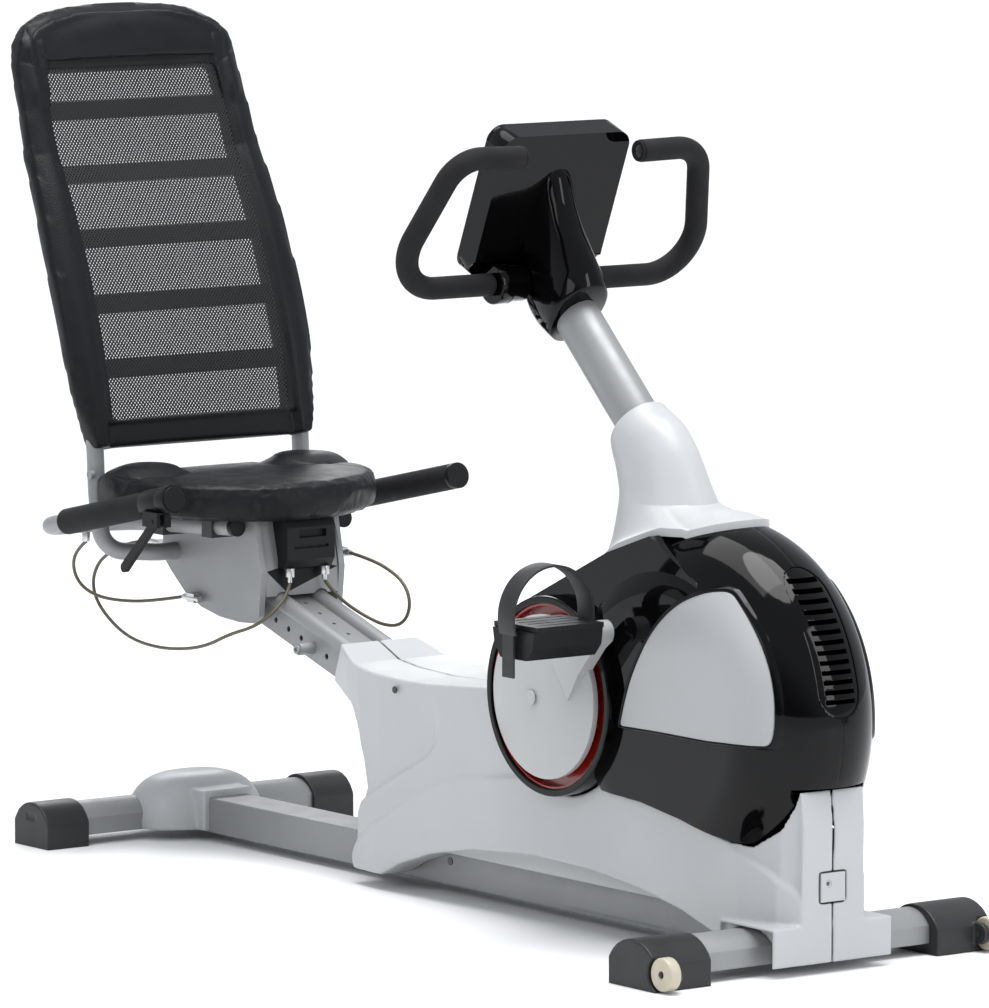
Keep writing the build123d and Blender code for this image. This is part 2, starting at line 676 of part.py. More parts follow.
def rail_section(grow=0.0):
    """Channel with a round rib along each upper edge; local y points up."""
    body = Pos(0, (RAIL_HEIGHT - 12) / 2) * Rectangle(2 * RAIL_HALF_WIDTH - 6 + 2 * grow, RAIL_HEIGHT - 12 + 2 * grow)
    rib = Pos(RAIL_HALF_WIDTH - 12, RAIL_HEIGHT - 12) * Circle(12 + grow)
    other = Pos(-RAIL_HALF_WIDTH + 12, RAIL_HEIGHT - 12) * Circle(12 + grow)
    return body + rib + other


def rail_room():
    bar = extrude(rail_plane(-RAIL_BACK) * rail_section(0.8), amount=RAIL_BACK + RAIL_FRONT)
    lid = extrude(rail_plane(-RAIL_BACK) * (Pos(0, RAIL_HEIGHT - 8) * Rectangle(66, 12)),
                  amount=RAIL_BACK + RAIL_FRONT)
    return bar + lid


def seat_rail():
    rail = extrude(rail_plane(-RAIL_BACK) * rail_section(), amount=RAIL_BACK + RAIL_FRONT)
    bore = Pos(0, (RAIL_HEIGHT - 12) / 2) * Rectangle(2 * RAIL_HALF_WIDTH - 12, RAIL_HEIGHT - 20)
    rail = rail - extrude(rail_plane(-RAIL_BACK - 1) * bore, amount=RAIL_BACK + RAIL_FRONT + 2)
    a = math.radians(RAIL_ANGLE)
    for i in range(5):
        along = -160 + 32 * i
        x = RAIL_X + along * math.cos(a) + 19 * math.sin(a)
        z = RAIL_Z - along * math.sin(a) + 19 * math.cos(a)
        rail = rail - round_y(x, z, 4.2, -60, -30)
    for i in range(7):
        place = rail_plane(-190 + 36 * i) * Pos(0, RAIL_HEIGHT + 4)
        rail = rail - place * Rot(X=90) * Cylinder(3, 40)
    return rail


def rail_parts():
    a = math.radians(RAIL_ANGLE)
    x = STOP_X
    z = STOP_Z
    barrel = ring_y(x, z, 8.5, 4.3, -67, -RAIL_HALF_WIDTH + 3)
    bolt = round_y(x, z, 6.3, -71, -67) + round_y(x, z, 4.0, -67.2, -RAIL_HALF_WIDTH + 9.2)
    bolt = bolt - Pos(x, -71, z) * Rot(X=90) * extrude(RegularPolygon(3.0, 6), amount=2.5, both=True)
    save(group([seat_rail(), barrel, bolt]), "seat_rail")


def rail_post():
    """Post on the beam that carries the rail's front end."""
    post = profile([(-88, BEAM_TOP), (-50, BEAM_TOP), (-50, 222), (-88, 234)], -30, 30)
    post = post - profile([(-85, 50), (-53, 50), (-53, 250), (-85, 250)], -27, 27)
    return post - extrude(rail_plane(-RAIL_BACK) * rail_section(0.05), amount=RAIL_BACK + RAIL_FRONT)


STOP_ALONG = -66.0
STOP_X = RAIL_X + STOP_ALONG * math.cos(math.radians(RAIL_ANGLE)) + 17 * math.sin(math.radians(RAIL_ANGLE))
STOP_Z = RAIL_Z - STOP_ALONG * math.sin(math.radians(RAIL_ANGLE)) + 17 * math.cos(math.radians(RAIL_ANGLE))


# ---- carriage ------------------------------------------------------------------------
PLATE_LINE = [(-590, 484), (-600, 460), (-601, 408), (-580, 388), (-544, 360), (-505, 344), (-460, 335),
              (-412, 332), (-378, 334), (-364, 345), (-357, 408), (-374, 484)]


def side_plate():
    plate = profile(PLATE_LINE, -SIDE_OUT, -SIDE_IN)
    plate = plate - round_y(PIVOT_X, PIVOT_Z, BACK_TUBE + RUNNING, -90, -40)
    return plate - round_y(-553, 448, 4, -90, -40)


def front_cover():
    outline = [(-364, 372), (-360, 372), (-360, 408), (-376, 484), (-380, 484), (-364, 408)]
    cover = profile(outline, -SIDE_IN + GAP, SIDE_IN - GAP)
    arches = extrude(rail_plane(-RAIL_BACK) * rail_section(2.0), amount=RAIL_BACK + RAIL_FRONT)
    return cover - arches


def junction_box():
    outline = [(-376, 483.5), (-345, 482), (-338, 470), (-338, 424), (-346, 412), (-361.5, 412), (-361.5, 424)]
    box = profile(outline, -41, 41)
    box = box - block(-345, -330, -20, 26, 455, 466)
    box = box - block(-342, -330, -28, 30, 440, 444)
    return box


BOOT_Y = 30.0


def boots():
    boot = Pos(-348, -BOOT_Y, 406) * Cylinder(7, 12)
    ferrule = Pos(-348, -BOOT_Y, 396) * Cylinder(3.4, 8)
    return boot + ferrule


def glands():
    """Barrel fittings on the side plates that take the cables' other ends."""
    rear = straight((-640, -67, 425), (-604, -67, 425), 4.5)
    rear = rear + block(-612, -601.3, -71.5, -62.5, 419, 431)
    side = straight((-533, -82, 357), (-494, -82, 357), 4.5)
    side = side + block(-522, -504, -86, -SIDE_OUT, 350.5, 363.5)
    far = straight((-356, 81, 425), (-392, 81, 425), 4.5)
    far = far + block(-384, -368, SIDE_OUT, 85, 418.5, 431.5)
    under = Pos(-680, -150, 433) * Cylinder(6, 14)
    under = under - straight((-680, -250, 451), (-680, 0, 451), HANDLE_TUBE + 0.3)
    return [rear, side, far, under]


def hairpin():
    """One seat handle: a leg under the seat, a bend behind, and the outer leg that carries the grip."""
    points = [(-396, -LEG_Y, 470), (-680, -LEG_Y, 452), (-680, -GRIP_Y, 450), (-328, -GRIP_Y, 526)]
    return swept(points, [70, 70], HANDLE_TUBE, HANDLE_TUBE - 2)


def grip_point(x):
    """Centre of the outer handle leg at a given X."""
    return (x, -GRIP_Y, 526 + (x + 328) * 76.0 / 352.0)


def handle_parts():
    save(both(hairpin()), "seat_handles")
    grip = straight(grip_point(-592), grip_point(-388), GRIP_RADIUS, HANDLE_TUBE)
    long_grip = straight(grip_point(-592), grip_point(-328), GRIP_RADIUS, HANDLE_TUBE)
    save(group([grip, mirrored(long_grip)]), "seat_grips")
    collar = straight(grip_point(-387.5), grip_point(-348), GRIP_RADIUS + 1.5, HANDLE_TUBE)
    lug = block(-372, -336, -LEVER_Y - 9, -LEVER_Y + 15, 486, 507)
    lug = lug - straight(grip_point(-600), grip_point(-300), GRIP_RADIUS + 2.0)
    neck = block(-372, -352, -LEVER_Y + 4, -LEVER_Y + 15, 496, 512)
    neck = neck - straight(grip_point(-600), grip_point(-300), GRIP_RADIUS - 1)
    slot = block(-400, -330, -LEVER_Y - 4, -LEVER_Y + 4, 470, 504.5)
    collar = collar + lug + neck - slot
    collar = collar - round_y(LEVER_X, LEVER_Z, 3, -300, -200)
    lever_pin = round_y(LEVER_X, LEVER_Z, 3, -LEVER_Y - 10, -LEVER_Y + 16)
    save(group([collar, lever_pin]), "lever_clamp")
    cap = straight(grip_point(-347.8), grip_point(-327), GRIP_RADIUS + 1.5, HANDLE_TUBE)
    far_cap = mirrored(straight(grip_point(-327.6), grip_point(-318), GRIP_RADIUS))
    plug = straight((-395.4, -LEG_Y, 470.04), (-386, -LEG_Y, 470.6), HANDLE_TUBE + 0.6)
    save(group([cap, far_cap, plug, mirrored(plug)]), "seat_handle_caps")


def lever():
    """Finger lever below the right grip that frees the seat."""
    eye = ring_y(LEVER_X, LEVER_Z, 8, 3 + RUNNING, -LEVER_Y - 3.4, -LEVER_Y + 3.4)
    tip_x = LEVER_X - 78
    tip_z = LEVER_Z - 72
    blade = profile([(LEVER_X - 8, LEVER_Z + 2), (LEVER_X - 2, LEVER_Z - 8), (tip_x + 4, tip_z - 6),
                     (tip_x - 6, tip_z + 4)], -LEVER_Y - 3.4, -LEVER_Y + 3.4)
    tip = round_y(tip_x, tip_z, 7, -LEVER_Y - 3.4, -LEVER_Y + 3.4)
    return eye + (blade + tip - round_y(LEVER_X, LEVER_Z, 7, -300, -200))


def seat_frame():
    """Steel pan under the cushion that ties the side plates and the handles together."""
    pan = block(-588, -382, -112, 112, 484.2, 488.2)
    pan = pan - block(-560, -400, -40, 40, 480, 490)
    return pan


def handle_saddles():
    """Brackets that clamp the inner handle legs under the seat pan."""
    saddles = []
    for x in (-560, -440):
        z = 470 + (x + 396) * 18.0 / 284.0
        piece = block(x - 12, x + 12, -LEG_Y - 16, -SIDE_OUT - 0.2, z - 15, 484.1)
        piece = piece - straight((-396, -LEG_Y, 470), (-680, -LEG_Y, 452), HANDLE_TUBE)
        saddles.append(piece)
    return saddles


def carriage_glides():
    """Nylon guides on the side plates that wrap the rail's upper edges."""
    guides = []
    for along in (-330, -222):
        side = Pos(-(RAIL_HALF_WIDTH + SIDE_IN) / 2, 34) * Rectangle(SIDE_IN - RAIL_HALF_WIDTH - 0.8, 52)
        lip = Pos(-44, RAIL_HEIGHT + 3.6) * Rectangle(34, 6)
        guides.append(extrude(rail_plane(along) * (side + lip), amount=34))
    return guides + [mirrored(guide) for guide in guides]


def cushion():
    """Seat cushion: round in front, square behind, with a raised bolster at each rear corner."""
    front = Pos(SEAT_X, 0) * Circle(SEAT_RADIUS)
    rear = Pos(-555, 0) * RectangleRounded(68, 2 * SEAT_RADIUS - 8, 26)
    keep = Pos(-526 + 70, 0) * Rectangle(280, 500)
    outline = (front & keep) + rear
    pad = extrude(Pos(0, 0, SEAT_BOTTOM) * outline, amount=SEAT_TOP - SEAT_BOTTOM)
    for sign in (-1, 1):
        hip = extrude(Pos(-540, sign * 146, SEAT_TOP - 1) * RectangleRounded(96, 106, 40), amount=18)
        pad = pad + hip
    return pad


# ---- control cables ------------------------------------------------------------------
def corner_radii(points):
    """The largest arc at each corner: 0.45 of the shorter run over the tangent of half the turn."""
    radii = []
    for before, here, after in zip(points, points[1:], points[2:]):
        run_in = Vector(*here) - Vector(*before)
        run_out = Vector(*after) - Vector(*here)
        half_turn = math.radians(run_in.get_angle(run_out)) / 2
        radii.append(0.45 * min(run_in.length, run_out.length) / math.tan(half_turn))
    return radii


def cable(points, name):
    radii = corner_radii(points)
    tube = swept(points, radii, CABLE / 2)
    length = tube.volume / (math.pi * CABLE * CABLE / 4)
    runs = [(Vector(*b) - Vector(*a)).length for a, b in zip(points, points[1:])]
    print(name, "radii", [round(r) for r in radii], "runs", [round(r) for r in runs], "length", round(length))
    save(tube, name)


LEVER_CABLE = [(-680, -150, 425.8), (-706, -148, 412), (-726, -143, 388), (-722, -136, 361), (-693, -127, 345),
               (-649, -115, 341), (-592, -99, 345), (-533, -82, 357)]

RECLINE_CABLE = [(-348, -30, 391.8), (-342, -38, 376.5), (-334, -68, 354), (-354, -86, 333), (-410, -89, 317),
                 (-471, -88, 293), (-536, -86, 281), (-603, -85, 277), (-668, -84, 283), (-718, -83, 302),
                 (-756, -82, 328), (-767, -81, 355), (-754, -80, 382), (-728, -79, 399), (-700, -76, 412),
                 (-669, -71, 421), (-640, -67, 425)]

BRAKE_CABLE = [(-348, 30, 391.8), (-342, 38, 377), (-334, 60, 355), (-314, 78, 339), (-285, 88, 329),
               (-252, 92, 332), (-233, 93, 350), (-232, 94, 374), (-250, 94, 396), (-290, 92, 412),
               (-328, 86, 421), (-356, 81, 425)]


# ---- backrest ------------------------------------------------------------------------
def back_point(along, y, out):
    """A backrest point: distance up from its foot, sideways, and out towards the rider."""
    lean = math.radians(BACK_LEAN)
    return (BACK_X - along * math.sin(lean) + out * math.cos(lean), y,
            BACK_Z + along * math.cos(lean) + out * math.sin(lean))


def back_plane():
    """Plane of the panel; local x is +Y, local y runs up the panel."""
    lean = math.radians(BACK_LEAN)
    return Plane(origin=(BACK_X, 0, BACK_Z), x_dir=(0, 1, 0), z_dir=(math.cos(lean), 0, math.sin(lean)))


LUMBAR = 24.0       # how far the panel bulges forward at the lumbar


def back_slice(out_from, out_to, y_half, low=-8.0, high=BACK_LENGTH + 4):
    """A curved slab parallel to the panel, between two distances from its rear face."""
    def edge(out):
        bend = ThreePointArc(back_point(low, 0, out), back_point(200, 0, out + LUMBAR), back_point(430, 0, out + 4))
        return bend, Line(back_point(430, 0, out + 4), back_point(high, 0, out))
    rear_bend, rear_line = edge(out_from)
    front_bend, front_line = edge(out_to)
    foot = Line(back_point(low, 0, out_from), back_point(low, 0, out_to))
    head = Line(back_point(high, 0, out_from), back_point(high, 0, out_to))
    face = make_face(rear_bend + rear_line + head + front_line + front_bend + foot)
    return extrude(face, amount=y_half, dir=(0, 1, 0), both=True)


def back_outline():
    """Outer edge of the panel, seen square on."""
    half = [(194, 0), (204, 60), (213, 140), (209, 300), (199, 459), (190, 570)]
    left = [(-y, s) for y, s in half]
    side = Spline(*half)
    top = Spline((190, 570), (176, 622), (110, 648), (0, BACK_LENGTH), (-110, 648), (-176, 622), (-190, 570))
    other = Spline(*left)
    foot = Line((-194, 0), (194, 0))
    return make_face(side + top + other + foot)


def back_window():
    """Opening that the mesh fills."""
    points = [(156, 33), (156, 140), (155, 324), (151, 556), (-151, 556), (-155, 324), (-156, 140), (-156, 33)]
    return make_face(Polyline(*points, close=True))


def prism(face, reach=80.0):
    return extrude(back_plane() * face, amount=reach, both=True)


def back_tube_points():
    mid = PAD_THICK / 2
    return [(PIVOT_X, -50, PIVOT_Z), (PIVOT_X, -102, PIVOT_Z), (PIVOT_X - 26, -179, PIVOT_Z + 5),
            (-611, -178, 500), back_point(8, -178, mid - 1),
            back_point(140, -188, mid + 22), back_point(430, -176, mid + 4), back_point(632, -150, mid - 1)]


BACK_RADII = [60, 34, 200, 200, 300, 300, 60]      # from the pivot to the top corner


def whole_back_tube(outer, inner=0.0):
    """The tube from the right pivot up, over the top and down to the left pivot, in one bend."""
    right = back_tube_points()
    left = [(x, -y, z) for x, y, z in reversed(right)]
    return swept(right + left, BACK_RADII + BACK_RADII[::-1], outer, inner)


def backrest():
    frame = whole_back_tube(BACK_TUBE, BACK_TUBE - 2)
    x, _, z = back_point(-34, 0, 10)
    bolt = round_y(x, z, 6.5, -195, -188.6) & block(x - 20, x + 20, -195, -188.6, z - 20, z + 20)
    save(frame + bolt + mirrored(bolt), "backrest_frame")
    channel = whole_back_tube(BACK_TUBE + 0.5)
    pad = back_slice(0, PAD_THICK, 240) & prism(back_outline())
    pad = pad - prism(back_window())
    head = back_slice(PAD_THICK + 0.3, PAD_THICK + 12, 240) & prism(head_outline())
    save(pad - channel, "backrest_border")
    save(head, "head_pad")
    sheet = back_slice(23, 25, 240) & prism(offset(back_window(), amount=-0.3))
    save(sheet, "backrest_mesh")
    bands = []
    for along in (495, 399, 301, 204, 111):
        strip = Pos(0, along) * Rectangle(336, 28)
        band = back_slice(16, 18.5, 240) & prism(strip)
        bands.append(band - channel - (pad - prism(back_window())))
    save(group(bands), "support_bands")


def head_outline():
    return make_face(Spline((150, 566), (166, 600), (120, 628), (0, 638), (-120, 628), (-166, 600), (-150, 566))
                     + Line((-150, 566), (150, 566)))


# ---- pedals and cranks ---------------------------------------------------------------
def spindle_place(side_sign):
    angle = math.radians(CRANK_ANGLE)
    dx = CRANK_LENGTH * math.cos(angle)
    dz = CRANK_LENGTH * math.sin(angle)
    if side_sign < 0:
        return (CRANK_X + dx, CRANK_Z + dz)
    return (CRANK_X - dx, CRANK_Z - dz)


def crank(sign):
    """Domed disc with the crank arm growing out of its edge, built on the right side."""
    px, pz = spindle_place(sign)
    edge = -DISC_RIM + 8
    plane = Plane(origin=(CRANK_X, edge, CRANK_Z), x_dir=(1, 0, 0), z_dir=(0, 0, -1))
    crown = ThreePointArc((DISC_RADIUS, 8), (60, 21), (0, DISC_HUB - DISC_RIM + 5))
    back = Polyline((0, DISC_HUB - DISC_RIM + 5), (0, 0), (DISC_RADIUS, 0), (DISC_RADIUS, 8))
    disc = revolve(plane * make_face(back + crown), axis=Axis((CRANK_X, 0, CRANK_Z), (0, 1, 0)), revolution_arc=360)
    ux = (px - CRANK_X) / CRANK_LENGTH
    uz = (pz - CRANK_Z) / CRANK_LENGTH
    nx, nz = -uz, ux

    def at(along, across):
        return (CRANK_X + ux * along + nx * across, CRANK_Z + uz * along + nz * across)
    arm = profile([at(60, 26), at(100, 20), at(150, 14), at(170, 14), at(170, -14), at(150, -14),
                   at(100, -24), at(60, -40)], -140, -DISC_RIM + 6)
    eye = round_y(px, pz, 16, -146, -124)
    body = disc + arm + eye
    body = body - round_y(CRANK_X, CRANK_Z, AXLE_RADIUS, -DISC_HUB + 6, -90)
    body = body - round_y(px, pz, 6.5, -200, -100)
    return body


def spindle(sign):
    px, pz = spindle_place(sign)
    return round_y(px, pz, 6.5, -PEDAL_OUT + 16, -124) + round_y(px, pz, 7.9, -PEDAL_IN + 0.6, -146.2)


def pedal(sign):
    px, pz = spindle_place(sign)
    outline = [(px - PEDAL_HALF_DEPTH, pz + 14), (px - PEDAL_HALF_DEPTH + 4, pz - 6),
               (px - 28, pz - 24), (px + 28, pz - 24), (px + PEDAL_HALF_DEPTH - 3, pz - 8),
               (px + PEDAL_HALF_DEPTH, pz + 14)]
    body = profile(outline, -PEDAL_OUT, -PEDAL_IN)
    return body - round_y(px, pz, 6.5 + RUNNING, -PEDAL_OUT + 15.5, -100)


def pedal_top(sign):
    px, pz = spindle_place(sign)
    low = pz + 14.2
    plate = block(px - PEDAL_HALF_DEPTH - 2, px + PEDAL_HALF_DEPTH + 2, -PEDAL_OUT + 4, -PEDAL_IN, low, low + 7)
    for i in range(4):
        x = px - 30 + 20 * i
        plate = plate - block(x - 2, x + 2, -PEDAL_OUT + 16, -PEDAL_IN - 10, low + 5, low + 9)
    return plate


def strap(sign):
    """Flat rubber strap arched over the foot, its tongue hanging outside the pedal."""
    px, pz = spindle_place(sign)
    low = pz + 14.2
    rise = 80.0
    middle = -(PEDAL_OUT + PEDAL_IN) / 2
    outer_y = -PEDAL_OUT - 6
    inner_y = -PEDAL_IN + 1.2
    thick = 3.0

    def band(extra):
        arc = ThreePointArc((px - 17, outer_y - extra, low - 6), (px - 17, middle, low + rise + extra),
                            (px - 17, inner_y + extra, low - 6))
        chord = Line((px - 17, inner_y + extra, low - 6), (px - 17, outer_y - extra, low - 6))
        return extrude(make_face(arc + chord), amount=34, dir=(1, 0, 0))
    arch = band(thick) - band(0)
    tongue = block(px - 12, px + 12, outer_y - thick, outer_y, low - 62, low - 5.5)
    return arch + tongue


def pedals():
    """Cranks and pedals of both sides."""
    spindles = []
    for name, sign in SIDES.items():
        place = (lambda piece: piece) if sign < 0 else mirrored
        save(place(crank(sign)), "crank_" + name)
        save(group([place(pedal(sign)), place(pedal_top(sign))]), "pedal_" + name)
        save(place(strap(sign)), "pedal_strap_" + name)
        spindles.append(place(spindle(sign)))
    cap = round_y(CRANK_X, CRANK_Z, 9, -DISC_HUB - 1.5, -DISC_HUB + 2.9)
    save(group(spindles + [cap, mirrored(cap)]), "crank_fittings")


# ---- build everything ----------------------------------------------------------------
base()
save(tail_cover(), "tail_cover")
drive()
for side_name, side_sign in SIDES.items():
    save(white_shell(side_sign), "body_shell_" + side_name)
    save(black_shell(side_sign), "housing_" + side_name)
save(group([mast_cover(-1), mast_cover(1)]), "mast_covers")
save(group([inset_panel(-1), inset_panel(1)]), "inset_panels")
save(group([crank_ring(-1), crank_ring(1)]), "crank_rings")
save(group([crank_dish(-1), crank_dish(1)]), "crank_dishes")
save(vent_grille(), "vent_grille")
hatch = block(818, 826.5, -20, 20, 94, 132) - block(816, 823, -17, 17, 97, 129)
hatch = hatch - Pos(822, -8, 118) * Rot(Y=90) * Cylinder(5.2, 20)
socket = Pos(819, -8, 118) * Rot(Y=90) * (Cylinder(5, 14) - Pos(0, 0, 3) * Cylinder(3, 14))
save(group([hatch, socket]), "power_inlet")
save(mast_tube(), "mast_tube")
save(neck_cover(), "neck_cover")
save(both(clamp_shell()), "handlebar_clamps")
handlebar()
console()
rail_parts()

save(group([side_plate(), mirrored(side_plate())] + carriage_glides()), "carriage_plates")
save(front_cover() + junction_box(), "carriage_cover")
save(group([boots(), mirrored(boots())] + glands()), "cable_fittings")
saddles = handle_saddles()
save(group([seat_frame()] + saddles + [mirrored(piece) for piece in saddles]), "seat_pan")
save(cushion(), "seat_cushion")
handle_parts()
save(lever(), "release_lever")
cable(LEVER_CABLE, "lever_cable")
cable(RECLINE_CABLE, "recline_cable")
cable(BRAKE_CABLE, "brake_cable")
backrest()
pedals()
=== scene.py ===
import math
import bpy
import numpy as np
from mathutils import Matrix, Vector, noise


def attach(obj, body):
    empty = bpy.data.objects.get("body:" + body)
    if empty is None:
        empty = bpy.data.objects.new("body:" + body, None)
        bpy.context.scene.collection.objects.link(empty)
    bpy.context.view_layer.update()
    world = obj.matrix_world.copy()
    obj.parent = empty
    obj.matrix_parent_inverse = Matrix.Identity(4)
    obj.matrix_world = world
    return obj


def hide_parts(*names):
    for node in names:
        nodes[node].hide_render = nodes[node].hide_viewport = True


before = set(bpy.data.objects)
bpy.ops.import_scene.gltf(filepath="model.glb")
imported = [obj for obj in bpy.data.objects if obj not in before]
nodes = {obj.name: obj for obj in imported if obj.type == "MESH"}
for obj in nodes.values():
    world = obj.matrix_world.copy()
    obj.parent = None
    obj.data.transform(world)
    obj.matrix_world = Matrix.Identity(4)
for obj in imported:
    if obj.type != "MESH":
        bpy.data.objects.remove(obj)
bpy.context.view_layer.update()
MM = 0.001
scene = bpy.context.scene
scene.view_settings.view_transform = "Standard"

# ---- places and sizes that several pieces share, in millimetres unless said ----------
CAMERA_AIM = Vector((0.0560, 0.0263, 0.5377))    # metres
CAMERA_DISTANCE = 11.40                          # metres
CRANK_X, CRANK_Z = 368, 320
HOUSING_X, HOUSING_Z = 590, 320                  # axis of the round housing
HOUSING_FLAT = 150                               # radius at which the flank starts to round off
HOUSING_EDGE = 105                               # radius of that rounding, and the half width
FLANGE_X, FLANGE_LONG, FLANGE_WIDE = 509, 146, 86   # the mast cover's oval foot on the housing
SEAT_X = -526                                    # centre of the cushion's round front
GRIP_TILT = math.radians(12.17)
LEAN = math.radians(19.53)                       # of the backrest, from the vertical
BACK_X, BACK_Z = -626, 560                       # foot of the backrest's panel
LUMBAR_REACH = 24                                # how far the panel bulges at the lumbar
HEAD_HALF_WIDTH = 150
HEAD_HALF_HEIGHT = 44
HEAD_MIDDLE = 606                                # up the panel
HEAD_SINK = 6.0
TUBE_LIFT = 7.0                                  # padding over the bend of the frame tube
CABLE_DIAMETER = 0.005                           # metres


# ---- camera and studio --------------------------------------------------------------
def add_camera():
    """A long lens, a little above the machine, from its front right."""
    right = Vector((0.599, 0.8007, 0.0021)).normalized()
    back = Vector((0.7952, -0.5949, 0.1172)).normalized()
    up = back.cross(right).normalized()
    right = up.cross(back).normalized()
    data = bpy.data.cameras.new("camera")
    data.sensor_fit = "VERTICAL"
    data.sensor_height = 36.0
    data.lens = 297.9
    data.clip_end = 200.0
    camera = bpy.data.objects.new("camera", data)
    scene.collection.objects.link(camera)
    rotation = Matrix((right, up, back)).transposed()
    place = Matrix.Translation(CAMERA_AIM + CAMERA_DISTANCE * back)
    camera.matrix_world = place @ rotation.to_4x4()
    scene.camera = camera


def add_area(name, place, aim, size, power, tall=None):
    data = bpy.data.lights.new(name, "AREA")
    data.shape = "RECTANGLE"
    data.size = size
    data.size_y = tall or size
    data.energy = power
    lamp = bpy.data.objects.new(name, data)
    scene.collection.objects.link(lamp)
    lamp.location = place
    lamp.rotation_euler = (Vector(aim) - Vector(place)).to_track_quat("-Z", "Y").to_euler()


def add_studio():
    world = bpy.data.worlds.new("studio")
    scene.world = world
    world.use_nodes = True
    tree = world.node_tree
    back = tree.nodes["Background"]
    back.inputs["Strength"].default_value = 1.0
    where = tree.nodes.new("ShaderNodeTexCoord")
    aim = tree.nodes.new("ShaderNodeVectorMath")
    aim.operation = "DOT_PRODUCT"
    aim.inputs[1].default_value = (0.36, -0.62, -0.70)
    tree.links.new(where.outputs["Generated"], aim.inputs[0])
    shade = tree.nodes.new("ShaderNodeValToRGB")
    shade.color_ramp.interpolation = "EASE"
    shade.color_ramp.elements[0].position = 0.12
    shade.color_ramp.elements[0].color = (0.56, 0.58, 0.615, 1)
    shade.color_ramp.elements[1].position = 0.62
    shade.color_ramp.elements[1].color = (0.10, 0.105, 0.115, 1)
    tree.links.new(aim.outputs["Value"], shade.inputs["Fac"])
    tree.links.new(shade.outputs["Color"], back.inputs["Color"])
    sun = bpy.data.lights.new("sun", "SUN")
    sun.energy = 2.5
    sun.angle = math.radians(38)
    lamp = bpy.data.objects.new("sun", sun)
    scene.collection.objects.link(lamp)
    lamp.rotation_euler = Vector((0.10, 0.04, 1.0)).to_track_quat("Z", "Y").to_euler()
    add_area("top_box", (0.1, -0.4, 3.2), (0.1, 0, 0.3), 2.6, 40, 1.6)
    add_area("front_strip", (3.3, 0.9, 1.7), (0.6, 0, 0.4), 0.7, 26, 2.4)
    add_area("side_box", (1.2, -3.4, 2.2), (0.1, 0, 0.4), 2.4, 22, 1.2)
    add_area("rear_box", (-3.2, 1.6, 2.0), (-0.2, 0, 0.5), 1.6, 26, 1.6)
    mesh = bpy.data.meshes.new("floor")
    ring = [(70 * math.cos(i * math.tau / 64), 70 * math.sin(i * math.tau / 64), 0) for i in range(64)]
    mesh.from_pydata(ring, [], [list(range(64))])
    floor = bpy.data.objects.new("floor", mesh)
    scene.collection.objects.link(floor)
    mesh.materials.append(surface("floor", (0.86, 0.865, 0.87), 0.55, mottle=0.01, mottle_scale=0.6,
                                  grain=0.02, grain_scale=90))


# ---- materials ----------------------------------------------------------------------
made = {}


